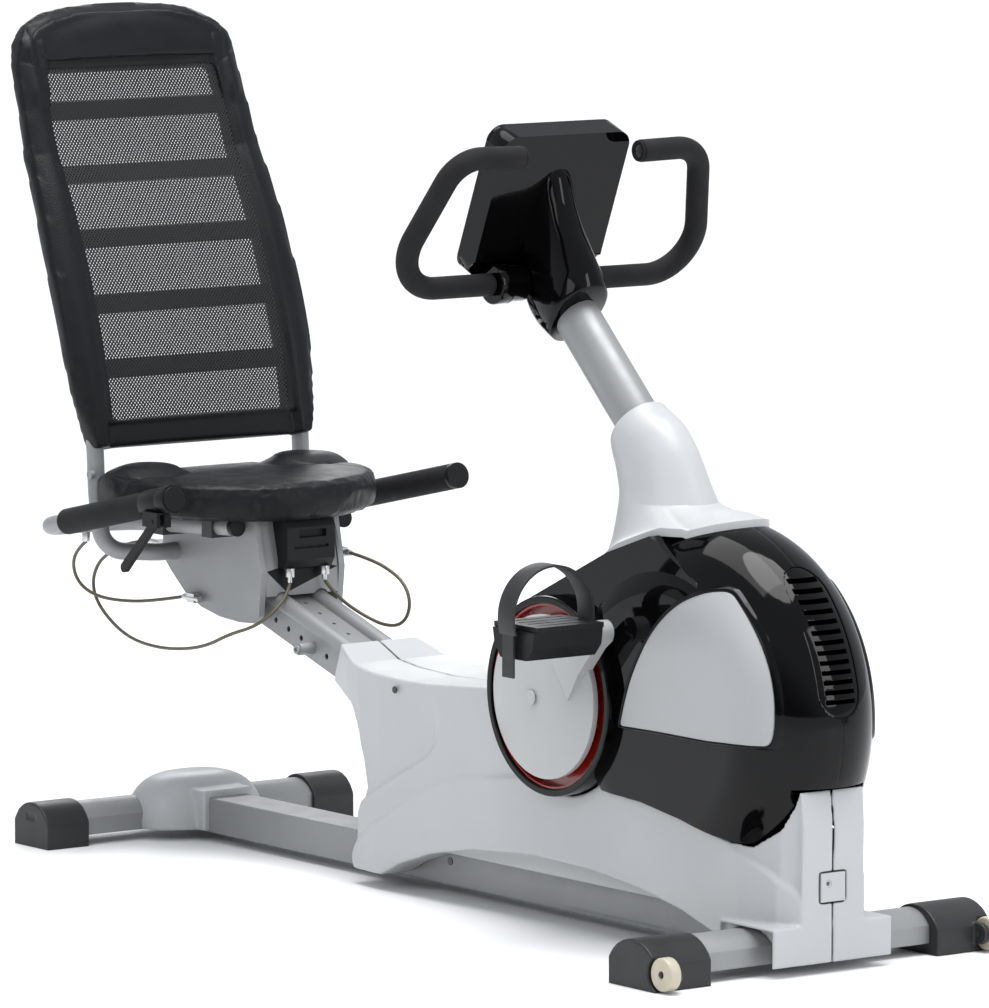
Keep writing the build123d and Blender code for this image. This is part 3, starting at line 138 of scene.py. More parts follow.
def surface(name, color, rough, metallic=0.0, coat=0.0, coat_rough=0.04, mottle=0.05, mottle_scale=9.0,
            grain=0.1, grain_scale=500.0, grain_depth=0.0002, rough_vary=0.06, cells=0.0, cell_scale=300.0,
            cell_depth=0.0004, peel=0.0, specular=0.5, stretch=(1, 1, 1)):
    """A procedural finish: mottled colour, uneven gloss, a fine grain and, for leather, pebbled cells."""
    if name in made:
        return made[name]
    mat = bpy.data.materials.new(name)
    made[name] = mat
    mat.use_nodes = True
    tree = mat.node_tree
    shader = tree.nodes["Principled BSDF"]
    shader.inputs["Metallic"].default_value = metallic
    shader.inputs["Specular IOR Level"].default_value = specular
    shader.inputs["Coat Weight"].default_value = coat
    shader.inputs["Coat Roughness"].default_value = coat_rough

    def node(kind, **values):
        made_node = tree.nodes.new(kind)
        for key, value in values.items():
            setattr(made_node, key, value)
        return made_node

    where = node("ShaderNodeTexCoord")
    scaled = node("ShaderNodeMapping")
    scaled.inputs["Scale"].default_value = stretch
    tree.links.new(where.outputs["Object"], scaled.inputs["Vector"])
    cloud = node("ShaderNodeTexNoise")
    cloud.inputs["Scale"].default_value = mottle_scale
    cloud.inputs["Detail"].default_value = 6
    tree.links.new(scaled.outputs[0], cloud.inputs["Vector"])
    ramp = node("ShaderNodeValToRGB")
    low = [max(0.0, c * (1 - mottle)) for c in color]
    high = [min(1.0, c * (1 + mottle)) for c in color]
    ramp.color_ramp.elements[0].position = 0.3
    ramp.color_ramp.elements[1].position = 0.7
    ramp.color_ramp.elements[0].color = (*low, 1)
    ramp.color_ramp.elements[1].color = (*high, 1)
    tree.links.new(cloud.outputs["Fac"], ramp.inputs["Fac"])
    tree.links.new(ramp.outputs["Color"], shader.inputs["Base Color"])
    gloss = node("ShaderNodeMapRange")
    gloss.inputs["From Min"].default_value = 0.3
    gloss.inputs["From Max"].default_value = 0.7
    gloss.inputs["To Min"].default_value = max(0.02, rough - rough_vary)
    gloss.inputs["To Max"].default_value = min(1.0, rough + rough_vary)
    wear = node("ShaderNodeTexNoise")
    wear.inputs["Scale"].default_value = mottle_scale * 3.1
    wear.inputs["Detail"].default_value = 4
    tree.links.new(scaled.outputs[0], wear.inputs["Vector"])
    tree.links.new(wear.outputs["Fac"], gloss.inputs["Value"])
    tree.links.new(gloss.outputs["Result"], shader.inputs["Roughness"])
    last = None

    def bump(height, strength, depth):
        nonlocal last
        step = node("ShaderNodeBump")
        step.inputs["Strength"].default_value = strength
        step.inputs["Distance"].default_value = depth
        tree.links.new(height, step.inputs["Height"])
        if last:
            tree.links.new(last, step.inputs["Normal"])
        last = step.outputs["Normal"]

    if peel:
        wave = node("ShaderNodeTexNoise")
        wave.inputs["Scale"].default_value = 38
        tree.links.new(scaled.outputs[0], wave.inputs["Vector"])
        bump(wave.outputs["Fac"], peel, 0.002)
    if cells:
        pebble = node("ShaderNodeTexVoronoi", feature="SMOOTH_F1")
        pebble.inputs["Scale"].default_value = cell_scale
        pebble.inputs["Smoothness"].default_value = 0.6
        tree.links.new(scaled.outputs[0], pebble.inputs["Vector"])
        bump(pebble.outputs["Distance"], cells, cell_depth)
    if grain:
        dots = node("ShaderNodeTexNoise")
        dots.inputs["Scale"].default_value = grain_scale
        dots.inputs["Detail"].default_value = 3
        tree.links.new(scaled.outputs[0], dots.inputs["Vector"])
        bump(dots.outputs["Fac"], grain, grain_depth)
    if last:
        tree.links.new(last, shader.inputs["Normal"])
    return mat


def net(name, color, cell):
    """Open knitted mesh: strands in a diamond lattice with holes between them."""
    mat = surface(name, color, 0.62, mottle=0.2, grain=0.3, grain_scale=900)
    tree = mat.node_tree
    shader = tree.nodes["Principled BSDF"]
    out = tree.nodes["Material Output"]
    where = tree.nodes.new("ShaderNodeTexCoord")
    split = tree.nodes.new("ShaderNodeSeparateXYZ")
    tree.links.new(where.outputs["Object"], split.inputs[0])

    def math_node(kind, a, b=None):
        step = tree.nodes.new("ShaderNodeMath")
        step.operation = kind
        for slot_number, value in enumerate((a, b)):
            if value is None:
                continue
            if isinstance(value, (int, float)):
                step.inputs[slot_number].default_value = value
            else:
                tree.links.new(value, step.inputs[slot_number])
        return step.outputs[0]

    across = math_node("MULTIPLY", split.outputs["Y"], math.pi / cell)
    along = math_node("MULTIPLY", split.outputs["Z"], math.pi / (cell * 1.15))
    first = math_node("SINE", math_node("ADD", across, along))
    second = math_node("SINE", math_node("SUBTRACT", across, along))
    hole = math_node("ABSOLUTE", math_node("MULTIPLY", first, second))
    open_part = math_node("GREATER_THAN", hole, 0.50)
    clear = tree.nodes.new("ShaderNodeBsdfTransparent")
    mix = tree.nodes.new("ShaderNodeMixShader")
    tree.links.new(open_part, mix.inputs[0])
    tree.links.new(shader.outputs[0], mix.inputs[1])
    tree.links.new(clear.outputs[0], mix.inputs[2])
    tree.links.new(mix.outputs[0], out.inputs["Surface"])
    return mat


SILVER = surface("silver_paint", (0.27, 0.275, 0.28), 0.46, metallic=0.25, coat=0.08, mottle=0.03,
                 grain=0.12, grain_scale=1400, grain_depth=0.0001)
# Near-black steel for the seat pan and the magnet arm; the same colour is also the painted shade in the
# covers' screw holes.
BLACK_STEEL_AND_HOLE_SHADE = surface("black_steel_and_hole_shade", (0.03, 0.03, 0.032), 0.45, mottle=0.1)
MACHINED = surface("machined_steel", (0.55, 0.55, 0.55), 0.28, metallic=1.0, mottle=0.06, stretch=(1, 14, 1))
CAST = surface("turned_iron", (0.16, 0.16, 0.165), 0.38, metallic=0.9, mottle=0.15)
SHELL = surface("white_shell", (0.455, 0.464, 0.472), 0.36, mottle=0.015, grain=0.16, grain_scale=1100,
                grain_depth=0.00012, rough_vary=0.04, specular=0.45)
GLOSS = surface("gloss_black", (0.0016, 0.0016, 0.002), 0.06, coat=0.0, mottle=0.2, grain=0.0, peel=0.012,
                rough_vary=0.02, specular=0.20)
PANEL = surface("panel_grey", (0.385, 0.392, 0.40), 0.34, mottle=0.012, mottle_scale=3, grain=0.0, peel=0.01,
                rough_vary=0.01, specular=0.4)
DISC = surface("disc_grey", (0.42, 0.427, 0.432), 0.36, mottle=0.012, mottle_scale=3, grain=0.0, peel=0.01,
               rough_vary=0.01, specular=0.4)
RED = surface("dish_red", (0.26, 0.010, 0.006), 0.28, coat=0.3, mottle=0.08)
DARK = surface("dark_plastic", (0.009, 0.0093, 0.010), 0.42, mottle=0.12, grain=0.22, grain_scale=900,
               grain_depth=0.0002, specular=0.18)
CAPS = surface("cap_plastic", (0.024, 0.0245, 0.026), 0.42, mottle=0.1, grain=0.22, grain_scale=800,
               grain_depth=0.0002, specular=0.3)
RUBBER = surface("rubber", (0.014, 0.014, 0.015), 0.55, mottle=0.12, grain=0.2, grain_scale=700)
FOAM = surface("foam", (0.0085, 0.0085, 0.0095), 0.80, mottle=0.12, grain=0.55, grain_scale=1100,
               grain_depth=0.0005, specular=0.3)
CREAM = surface("roller_cream", (0.48, 0.43, 0.34), 0.4, mottle=0.08, mottle_scale=30)
LEATHER = surface("leatherette", (0.0060, 0.0065, 0.0080), 0.44, mottle=0.12, specular=0.20,
                  cells=0.5, cell_scale=420,
                  cell_depth=0.0005, grain=0.2, grain_scale=1500, rough_vary=0.07)
NET = net("back_net", (0.007, 0.0075, 0.009), 0.0056)
SHEATH = surface("cable_sheath", (0.10, 0.085, 0.055), 0.42, mottle=0.15, mottle_scale=60)
SCREEN = surface("screen", (0.012, 0.02, 0.022), 0.05, coat=0.5, mottle=0.3)
BOARD = surface("board_green", (0.02, 0.09, 0.04), 0.4, mottle=0.3, mottle_scale=60)

FINISH = {
    SILVER: ["main_beam", "stabiliser_tubes", "mast_tube", "seat_rail", "carriage_plates", "seat_handles",
             "backrest_frame", "handlebar_tube", "inner_frame"],
    BLACK_STEEL_AND_HOLE_SHADE: ["seat_pan", "brake_magnet_arm"],
    MACHINED: ["bearings", "crank_axle", "crank_fittings", "cable_fittings"],
    CAST: ["flywheel"],
    SHELL: ["tail_cover", "body_shell_right", "body_shell_left", "mast_covers", "power_inlet"],
    GLOSS: ["vent_grille", "housing_right", "housing_left", "crank_rings", "neck_cover",
            "handlebar_clamps", "console_back", "console_bezel"],
    PANEL: ["inset_panels"],
    DISC: ["crank_right", "crank_left"],
    RED: ["crank_dishes"],
    DARK: ["brake_servo_motor", "pedal_right", "pedal_left", "carriage_cover",
           "seat_handle_caps", "lever_clamp", "release_lever", "support_bands"],
    CAPS: ["foot_caps"],
    RUBBER: ["drive_belt", "pedal_strap_right", "pedal_strap_left", "key_left", "key_right"],
    FOAM: ["seat_grips", "handlebar_grips"],
    CREAM: ["transport_wheel_right", "transport_wheel_left"],
    LEATHER: ["seat_cushion", "backrest_border", "head_pad"],
    NET: ["backrest_mesh"],
    SHEATH: ["lever_cable", "recline_cable", "brake_cable"],
    SCREEN: ["console_window"],
    BOARD: ["circuit_boards"],
}

BEVELS = {
    "foot_caps": 4.0, "tail_cover": 3.0, "body_shell_right": 2.0, "body_shell_left": 2.0, "mast_covers": 1.2,
    "neck_cover": 3.0, "console_back": 2.0, "console_bezel": 2.0, "carriage_plates": 1.0,
    "carriage_cover": 2.2,
    "pedal_right": 2.0, "pedal_left": 2.0, "crank_right": 1.5, "crank_left": 1.5, "crank_rings": 2.0,
    "inset_panels": 0.8, "main_beam": 2.5, "stabiliser_tubes": 1.5, "seat_grips": 3.0, "handlebar_grips": 1.5,
    "lever_clamp": 1.0, "release_lever": 1.5, "seat_handle_caps": 2.0, "seat_rail": 0.8, "power_inlet": 0.6,
    "transport_wheel_right": 3.0, "transport_wheel_left": 3.0, "handlebar_clamps": 2.0, "housing_right": 1.0,
    "housing_left": 1.0, "vent_grille": 0.6, "pedal_strap_right": 0.8, "pedal_strap_left": 0.8,
    "key_left": 1.0, "key_right": 1.0, "cable_fittings": 0.6, "crank_dishes": 0.5, "support_bands": 0.6,
    "flywheel": 1.0, "mast_tube": 0.6, "crank_fittings": 0.6,
}


def soften(obj, width):
    """Rounded edges on a CAD piece, which stays where and as large as it is."""
    weld = obj.modifiers.new("weld", "WELD")
    weld.merge_threshold = 0.00002
    edge = obj.modifiers.new("edge", "BEVEL")
    edge.width = width * MM
    edge.segments = 3
    edge.limit_method = "ANGLE"
    edge.angle_limit = math.radians(38)
    edge.harden_normals = True
    edge.use_clamp_overlap = True


def dress():
    for mat, names in FINISH.items():
        for name in names:
            data = nodes[name].data
            data.materials.clear()
            data.materials.append(mat)
    for name, width in BEVELS.items():
        soften(nodes[name], width)


add_camera()
add_studio()
dress()

# ---- cables -------------------------------------------------------------------------
ROUTES = {
    "lever_cable": ([(-680, -150, 425.8), (-706, -148, 412), (-726, -143, 388), (-722, -136, 361),
                     (-693, -127, 345), (-649, -115, 341), (-592, -99, 345), (-533, -82, 357)], 0.287),
    "recline_cable": ([(-348, -30, 391.8), (-342, -38, 376.5), (-334, -68, 354), (-354, -86, 333),
                       (-410, -89, 317), (-471, -88, 293), (-536, -86, 281), (-603, -85, 277),
                       (-668, -84, 283), (-718, -83, 302), (-756, -82, 328), (-767, -81, 355),
                       (-754, -80, 382), (-728, -79, 399), (-700, -76, 412), (-669, -71, 421),
                       (-640, -67, 425)], 0.689),
    "brake_cable": ([(-348, 30, 391.8), (-342, 38, 377), (-334, 60, 355), (-314, 78, 339), (-285, 88, 329),
                     (-252, 92, 332), (-233, 93, 350), (-232, 94, 374), (-250, 94, 396), (-290, 92, 412),
                     (-328, 86, 421), (-356, 81, 425)], 0.332),
}


def add_cables():
    for name, (points, length) in ROUTES.items():
        curve = bpy.data.curves.new(name + "_cord", "CURVE")
        curve.dimensions = "3D"
        curve.bevel_depth = CABLE_DIAMETER / 2
        curve.bevel_resolution = 4
        curve.use_fill_caps = True
        curve.resolution_u = 16
        line = curve.splines.new("NURBS")
        line.points.add(len(points) - 1)
        for point, place in zip(line.points, points):
            point.co = (place[0] * MM, place[1] * MM, place[2] * MM, 1)
        line.order_u = 3
        line.use_endpoint_u = True
        cord = bpy.data.objects.new(name + "_cord", curve)
        scene.collection.objects.link(cord)
        curve.materials.append(SHEATH)
        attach(cord, "carriage")
        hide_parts(name)


add_cables()


# ---- shared mesh tools --------------------------------------------------------------
def new_object(name, mesh, body, mat, *replaced, slot=None):
    """A visual piece that rides on a body and stands for the named CAD nodes."""
    obj = bpy.data.objects.new(name, mesh)
    scene.collection.objects.link(obj)
    mesh.materials.clear()
    mesh.materials.append(mat)
    for polygon in mesh.polygons:
        polygon.use_smooth = True
    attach(obj, body)
    if replaced:
        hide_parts(*replaced)
    return obj


def applied(obj):
    """The object's mesh with its modifiers carried out."""
    bpy.context.view_layer.update()
    graph = bpy.context.evaluated_depsgraph_get()
    return bpy.data.meshes.new_from_object(obj.evaluated_get(graph))


def reworked(source, *modifiers):
    """A copy of a mesh after a list of (kind, settings) modifiers."""
    obj = bpy.data.objects.new("work", source.copy())
    scene.collection.objects.link(obj)
    for kind, settings in modifiers:
        step = obj.modifiers.new(kind, kind)
        for key, value in settings.items():
            setattr(step, key, value)
    mesh = applied(obj)
    bpy.data.objects.remove(obj)
    return mesh


def places(mesh):
    co = np.zeros(len(mesh.vertices) * 3)
    mesh.vertices.foreach_get("co", co)
    return co.reshape(-1, 3)


def put_back(mesh, co):
    mesh.vertices.foreach_set("co", co.ravel())
    mesh.update()


def moulded(node, voxel, rounds):
    """A CAD node's mesh, remeshed finely and smoothed, so that its edges are rounded."""
    return reworked(nodes[node].data,
                    ("WELD", {"merge_threshold": 0.00002}),
                    ("REMESH", {"mode": "VOXEL", "voxel_size": voxel * MM}),
                    ("SMOOTH", {"factor": 0.5, "iterations": rounds}))


def step(x, low, high):
    """0 below low, 1 above high, smooth between."""
    t = np.clip((x - low) / (high - low), 0, 1)
    return t * t * (3 - 2 * t)


def between(p0, p1, p2, p3, t):
    """A Catmull-Rom curve's point between p1 and p2."""
    return 0.5 * (2 * p1 + (p2 - p0) * t + (2 * p0 - 5 * p1 + 4 * p2 - p3) * t * t
                  + (3 * p1 - p0 - 3 * p2 + p3) * t ** 3)


def ring_faces(bands, around, start=0):
    """Quads that join rings of equal counts into a skin."""
    faces = []
    for r in range(bands):
        for k in range(around):
            n = (k + 1) % around
            corners = (r * around + k, r * around + n, (r + 1) * around + n, (r + 1) * around + k)
            faces.append(tuple(start + i for i in corners))
    return faces


def finer(obj):
    """One level of subdivision, in the view and in the render."""
    more = obj.modifiers.new("finer", "SUBSURF")
    more.levels = 1
    more.render_levels = 1


def edged(obj, width):
    """Rounded corners on a piece made here."""
    edge = obj.modifiers.new("edge", "BEVEL")
    edge.width = width * MM
    edge.segments = 3
    edge.limit_method = "ANGLE"
    edge.angle_limit = math.radians(50)
    return edge


def loft(name, rings, body, mat, *replaced, slot=None, around=96):
    """A skin over rings of (front point, rear point, half width, power), each an oval across XZ."""
    count = len(rings)
    fine = 6
    table = np.array([[f[0], f[1], r[0], r[1], b, p] for f, r, b, p in rings], float)
    spots = np.linspace(0, count - 1, (count - 1) * fine + 1)
    rows = []
    for s in spots:
        i = min(int(s), count - 2)
        t = s - i
        p0, p1, p2, p3 = (table[max(i - 1, 0)], table[i], table[i + 1], table[min(i + 2, count - 1)])
        rows.append(between(p0, p1, p2, p3, t))
    verts = []
    for fx, fz, rx, rz, half, power in rows:
        for k in range(around):
            a = math.tau * k / around
            ca, sa = math.cos(a), math.sin(a)
            ca = math.copysign(abs(ca) ** (2 / power), ca)
            sa = math.copysign(abs(sa) ** (2 / power), sa)
            x = (fx + rx) / 2 + (fx - rx) / 2 * ca
            z = (fz + rz) / 2 + (fz - rz) / 2 * ca
            verts.append((x * MM, half * sa * MM, z * MM))
    faces = ring_faces(len(rows) - 1, around)
    faces.append(tuple(range(around - 1, -1, -1)))
    faces.append(tuple(range((len(rows) - 1) * around, len(rows) * around)))
    mesh = bpy.data.meshes.new(name)
    mesh.from_pydata(verts, [], faces)
    mesh.update()
    return new_object(name, mesh, body, mat, *replaced, slot=slot)


# ---- white covers -------------------------------------------------------------------
PANEL_EDGE = [(-140, 100), (-110, 116), (-72, 136), (-2, 171), (50, 197), (76, 222), (79, 250)]
BAND_TOP = [(-125, 52), (-84, 80), (26, 144), (125, 178), (251, 196), (330, 200)]
PILLAR_EDGE = [(690, 176), (738, 158), (790, 132), (817, 112), (840, 78)]


def body_relief(co):
    """The steps that run across the flanks."""
    x, y, z = co[:, 0] / MM, co[:, 1] / MM, co[:, 2] / MM
    side = step(np.abs(y), 50, 60)
    panel_line = np.interp(x, [p[0] for p in PANEL_EDGE], [p[1] for p in PANEL_EDGE])
    panel = step(z - panel_line, -2.5, 2.5) * (1 - step(x, 66, 82)) * (1 - step(z, 232, 290))
    band_line = np.interp(x, [p[0] for p in BAND_TOP], [p[1] for p in BAND_TOP])
    band = step(z - band_line, -4, 4) * (1 - step(x, 200, 330))
    pillar_line = np.interp(x, [p[0] for p in PILLAR_EDGE], [p[1] for p in PILLAR_EDGE])
    pillar = step(z - pillar_line, -5, 4) * step(x, 715, 745)
    depth = side * (5.0 * panel + 4.0 * band + 7.0 * pillar)
    y = y - np.sign(y) * depth
    co[:, 1] = y * MM
    return co


def tail_shape(count=120):
    """A low dome over the joint of the beam and the rear stabiliser."""
    verts = []
    rows = 40
    for r in range(rows + 1):
        t = math.pi / 2 * r / rows
        for k in range(count):
            a = math.tau * k / count
            ca, sa = math.cos(a), math.sin(a)
            plan_x = math.copysign(abs(ca) ** 0.8, ca)
            plan_y = math.copysign(abs(sa) ** 0.8, sa)
            out = math.cos(t) ** 0.62
            verts.append((-627 + 72 * plan_x * out, 103 * plan_y * out, 15 + 76 * math.sin(t) ** 0.9))
    faces = ring_faces(rows, count)
    faces.append(tuple(range(count - 1, -1, -1)))
    return verts, faces


def slab(x0, x1, y0, y1, z0, z1, start):
    """The corners and faces of a block, numbered from a start."""
    corners = [(x, y, z) for x in (x0, x1) for y in (y0, y1) for z in (z0, z1)]
    quads = [(0, 1, 3, 2), (4, 6, 7, 5), (0, 4, 5, 1), (2, 3, 7, 6), (0, 2, 6, 4), (1, 5, 7, 3)]
    return corners, [tuple(start + i for i in quad) for quad in quads]


def solid_mesh(verts, faces):
    mesh = bpy.data.meshes.new("raw")
    mesh.from_pydata([tuple(c * MM for c in v) for v in verts], [], faces)
    mesh.update()
    return mesh


def add_shells():
    for name in ("body_shell_right", "body_shell_left"):
        mesh = moulded(name, 2.4, 5)
        put_back(mesh, body_relief(places(mesh)))
        new_object(name + "_cover", mesh, "frame", SHELL, name, slot="shell_plastic")
    verts, faces = tail_shape()
    block, sides = slab(-600, -541, -43, 43, 15, 73, len(verts))
    raw = solid_mesh(verts + block, faces + sides)
    mesh = reworked(raw, ("REMESH", {"mode": "VOXEL", "voxel_size": 2.2 * MM}),
                    ("SMOOTH", {"factor": 0.5, "iterations": 12}))
    new_object("tail_cover_skin", mesh, "frame", SHELL, "tail_cover", slot="shell_plastic")
    mesh = moulded("foot_caps", 1.5, 8)
    new_object("foot_caps_skin", mesh, "frame", CAPS, "foot_caps", slot="dark_plastic")


# ---- neck and mast cover ------------------------------------------------------------
TOWER_RINGS = [((441, 713), (386, 652), 40.5), ((449, 707), (382, 646), 44),
               ((484, 689), (380, 636), 46), ((511, 662), (384, 624), 47.5),
               ((529, 634), (389, 611), 49.5), ((544, 606), (395, 594), 53),
               ((555, 586), (397, 582), 57)]


def drum_top(x, y):
    """Height of the housing's top, in millimetres."""
    ring = HOUSING_FLAT + math.sqrt(max(0.0, HOUSING_EDGE ** 2 - y * y))
    drum = HOUSING_Z + math.sqrt(max(0.0, ring ** 2 - (x - HOUSING_X) ** 2))
    link = float(np.interp(x, [258, 470, 560, 600], [424, 522, 552, 553]))
    return max(drum, link if x < 600 else 0)


def add_tower():
    """The mast cover: an oval tower that flows out into a flange on the housing's top."""
    around = 120
    table = np.array([[f[0], f[1], r[0], r[1], b] for f, r, b in TOWER_RINGS], float)
    rows = []
    for i in range(len(table) - 1):
        p0, p1 = table[max(i - 1, 0)], table[i]
        p2, p3 = table[i + 1], table[min(i + 2, len(table) - 1)]
        for t in np.linspace(0, 1, 8, endpoint=False):
            rows.append(between(p0, p1, p2, p3, t))
    rows.append(table[-1])
    verts = []
    for fx, fz, rx, rz, half in rows:
        for k in range(around):
            a = math.tau * k / around
            ca = math.cos(a)
            x = (fx + rx) / 2 + (fx - rx) / 2 * ca
            z = (fz + rz) / 2 + (fz - rz) / 2 * ca
            verts.append((x, half * math.sin(a), z))
    base = verts[-around:]
    steps = 22
    for f in list(np.linspace(0.04, 1, steps)) + [1.0]:
        last = len(verts) >= (len(rows) + steps) * around
        for k in range(around):
            a = math.tau * k / around
            ox, oy = FLANGE_X + FLANGE_LONG * math.cos(a), FLANGE_WIDE * math.sin(a)
            bx, by, bz = base[k]
            x = bx + (ox - bx) * f
            y = by + (oy - by) * f
            top = drum_top(ox, oy) + 10
            z = top + (bz - top) * (1 - f) ** 2.4 + 3.0 * math.sin(math.pi * f)
            z = max(z, drum_top(x, y) + 9)
            verts.append((x, y, z - (11 if last else 0)))
    faces = ring_faces(len(verts) // around - 1, around)
    faces.append(tuple(range(around - 1, -1, -1)))
    mesh = solid_mesh(verts, faces)
    obj = new_object("mast_cover_skin", mesh, "frame", SHELL, "mast_covers", slot="shell_plastic")
    edged(obj, 2.2)


def add_neck():
    loft("neck_skin", NECK_RINGS, "frame", GLOSS, "neck_cover", slot="gloss_plastic")


NECK_RINGS = [((311, 852), (244, 778), 36, 2.2), ((313, 859), (236, 783), 41, 2.2),
              ((307, 876), (212, 796), 40, 2.3), ((298, 893), (188, 818), 36, 2.4),
              ((284, 914), (172, 850), 33, 2.5), ((268, 938), (168, 890), 30, 2.6),
              ((254, 968), (174, 936), 27, 2.6), ((244, 1000), (190, 980), 24, 2.4),
              ((234, 1016), (204, 1000), 17, 2.2)]


# ---- the housing's light panel ------------------------------------------------------
PANEL_CORNERS = [(513, 300), (516, 312), (524, 336), (536, 364), (555, 396), (579, 427), (608, 453),
                 (642, 474), (676, 488), (700, 493), (716, 492), (730, 483), (754, 460), (776, 432),
                 (793, 400), (803, 366), (806, 334), (804, 312), (799, 303), (788, 301), (740, 300),
                 (690, 298), (600, 298), (530, 297), (517, 297)]


def flank(x, z, lift):
    """The half width of the housing's rounded flank at a point of its side, plus a lift."""
    out = math.hypot(x - HOUSING_X, z - HOUSING_Z)
    if out <= HOUSING_FLAT:
        return HOUSING_EDGE + lift
    return math.sqrt(max(0.0, HOUSING_EDGE ** 2 - (out - HOUSING_FLAT) ** 2)) + lift


def smooth_loop(points, fine=10):
    """A closed Catmull-Rom curve through the points."""
    out = []
    count = len(points)
    for i in range(count):
        p0, p1, p2, p3 = (np.array(points[(i + k) % count], float) for k in (-1, 0, 1, 2))
        for t in np.linspace(0, 1, fine, endpoint=False):
            out.append(between(p0, p1, p2, p3, t))
    return out


def flank_patch(points, lifts, side, rows=26):
    """A skin inside a loop on the housing's flank; lifts give its height from the rim inwards."""
    loop = smooth_loop(points)
    middle = sum(loop) / len(loop)
    verts = []
    for r in range(rows + 1):
        t = (r / rows) ** 1.8
        lift = float(np.interp(t, [q[0] for q in lifts], [q[1] for q in lifts]))
        for p in loop:
            x, z = p + (middle - p) * t
            verts.append((x, side * flank(x, z, lift), z))
    quads = ring_faces(rows, len(loop))
    return verts, [quad if side > 0 else quad[::-1] for quad in quads]


PANEL_LIFTS = [(0, -1.0), (0.00002, 1.6), (0.0004, 2.3), (0.002, 2.6), (1, 2.6)]
SURROUND = [(0.000, 0.5), (0.006, 3.6), (0.022, 4.2), (0.045, 3.6), (0.060, 0.4), (0.064, -1.5)]


def add_panels():
    """A light panel on each flank, and the raised gloss surround that it sits in."""
    verts, faces = [], []
    for side in (-1, 1):
        more, quads = flank_patch(PANEL_CORNERS, PANEL_LIFTS, side)
        faces += [tuple(len(verts) + i for i in quad) for quad in quads]
        verts += more
    new_object("inset_panel_skins", solid_mesh(verts, faces), "frame", PANEL, "inset_panels",
               slot="panel_plastic")
    middle = sum(np.array(p, float) for p in PANEL_CORNERS) / len(PANEL_CORNERS)
    verts, faces = [], []
    loop = smooth_loop(PANEL_CORNERS)
    for side in (-1, 1):
        start = len(verts)
        for grow, lift in SURROUND:
            for p in loop:
                x, z = p + (p - middle) * grow
                verts.append((x, side * flank(x, z, lift), z))
        quads = ring_faces(len(SURROUND) - 1, len(loop), start)
        faces += [quad if side < 0 else quad[::-1] for quad in quads]
    trim = new_object("panel_surrounds", solid_mesh(verts, faces), "frame", GLOSS, slot="gloss_plastic")
    finer(trim)


# ---- upholstery ---------------------------------------------------------------------
def puffed(mesh, pressure, cap, frames=20):
    """Cloth simulation of a padded piece: it swells under pressure, each point no further than cap."""
    obj = bpy.data.objects.new("pad_work", mesh)
    scene.collection.objects.link(obj)
    cloth = obj.modifiers.new("cloth", "CLOTH")
    cloth.settings.use_pressure = True
    cloth.settings.uniform_pressure_force = pressure
    cloth.settings.effector_weights.gravity = 0
    cloth.settings.mass = 0.3
    cloth.settings.tension_stiffness = 15
    cloth.settings.compression_stiffness = 15
    cloth.settings.shear_stiffness = 5
    cloth.point_cache.frame_start = 1
    cloth.point_cache.frame_end = frames
    start = places(mesh)
    for number in range(1, frames + 1):
        scene.frame_set(number)
    swollen = places(applied(obj))
    bpy.data.objects.remove(obj)
    scene.frame_set(1)
    move = swollen - start
    far = np.linalg.norm(move, axis=1)
    limit = np.minimum(1.0, cap * MM / np.maximum(far, 1e-9))
    put_back(mesh, start + move * limit[:, None])
    return mesh


def upholstered(node, voxel, rounds, pressure, cap, body, shape):
    """A leatherette pad from its CAD solid: remeshed, shaped and swollen."""
    mesh = moulded(node, voxel, rounds)
    put_back(mesh, shape(places(mesh)))
    mesh = puffed(mesh, pressure, cap)
    obj = new_object(node + "_soft", mesh, body, LEATHER, node, slot="leatherette")
    finer(obj)


def cushion_shape(co):
    """Soft crown, hip bolsters and a sewn line round the top edge of the seat cushion."""
    x, y, z = co[:, 0] / MM, co[:, 1] / MM, co[:, 2] / MM
    top = step(z, 505, 530)
    radius = np.hypot(x - SEAT_X, y)
    z = np.where(z > 531, 531 + (z - 531) * 0.12, z)
    co[:, 2] = z * MM
    reach = ((x + 548) / 46) ** 2 + ((np.abs(y) - 142) / 62) ** 2
    hips = 11.0 * (1 - step(reach, 0.1, 1.5)) - 1.6 * np.exp(-((reach - 1.5) / 0.16) ** 2)
    crown = 2.0 * step(radius, 130, 202) - hips
    seam = np.zeros_like(x)
    for sign in (-1, 1):
        line = np.abs((x + 470) * 0.42 + (np.abs(y) - 150) * -0.90)
        here = step(sign * y, 40, 60) * step(x, -500, -480)
        seam += np.exp(-(line / 2.6) ** 2) * here * 3.0
    side_seam = np.exp(-((z - 524) / 1.8) ** 2) * step(radius, 188, 196) * 1.6
    co[:, 2] -= top * (crown + seam) * MM
    shrink = 1 - side_seam / np.maximum(radius, 1)
    co[:, 0] = (SEAT_X + (x - SEAT_X) * shrink) * MM
    co[:, 1] = y * shrink * MM
    skirt = (1 - step(z, 490, 512)) * step(radius, 176, 190)
    co[:, 2] -= 6.0 * skirt * MM
    return co


def head_shape(co):
    """The head pad's front sinks into the border at its rim, so that both read as one section."""
    side, tall = co[:, 1] / MM, (co[:, 2] / MM - BACK_Z) / math.cos(LEAN)
    across = (side / HEAD_HALF_WIDTH) ** 2 + ((tall - HEAD_MIDDLE) / HEAD_HALF_HEIGHT) ** 2
    sink = HEAD_SINK * step(across, 0.15, 1.0)
    co[:, 0] -= sink * math.cos(LEAN) * MM
    co[:, 2] -= sink * math.sin(LEAN) * MM
    return co


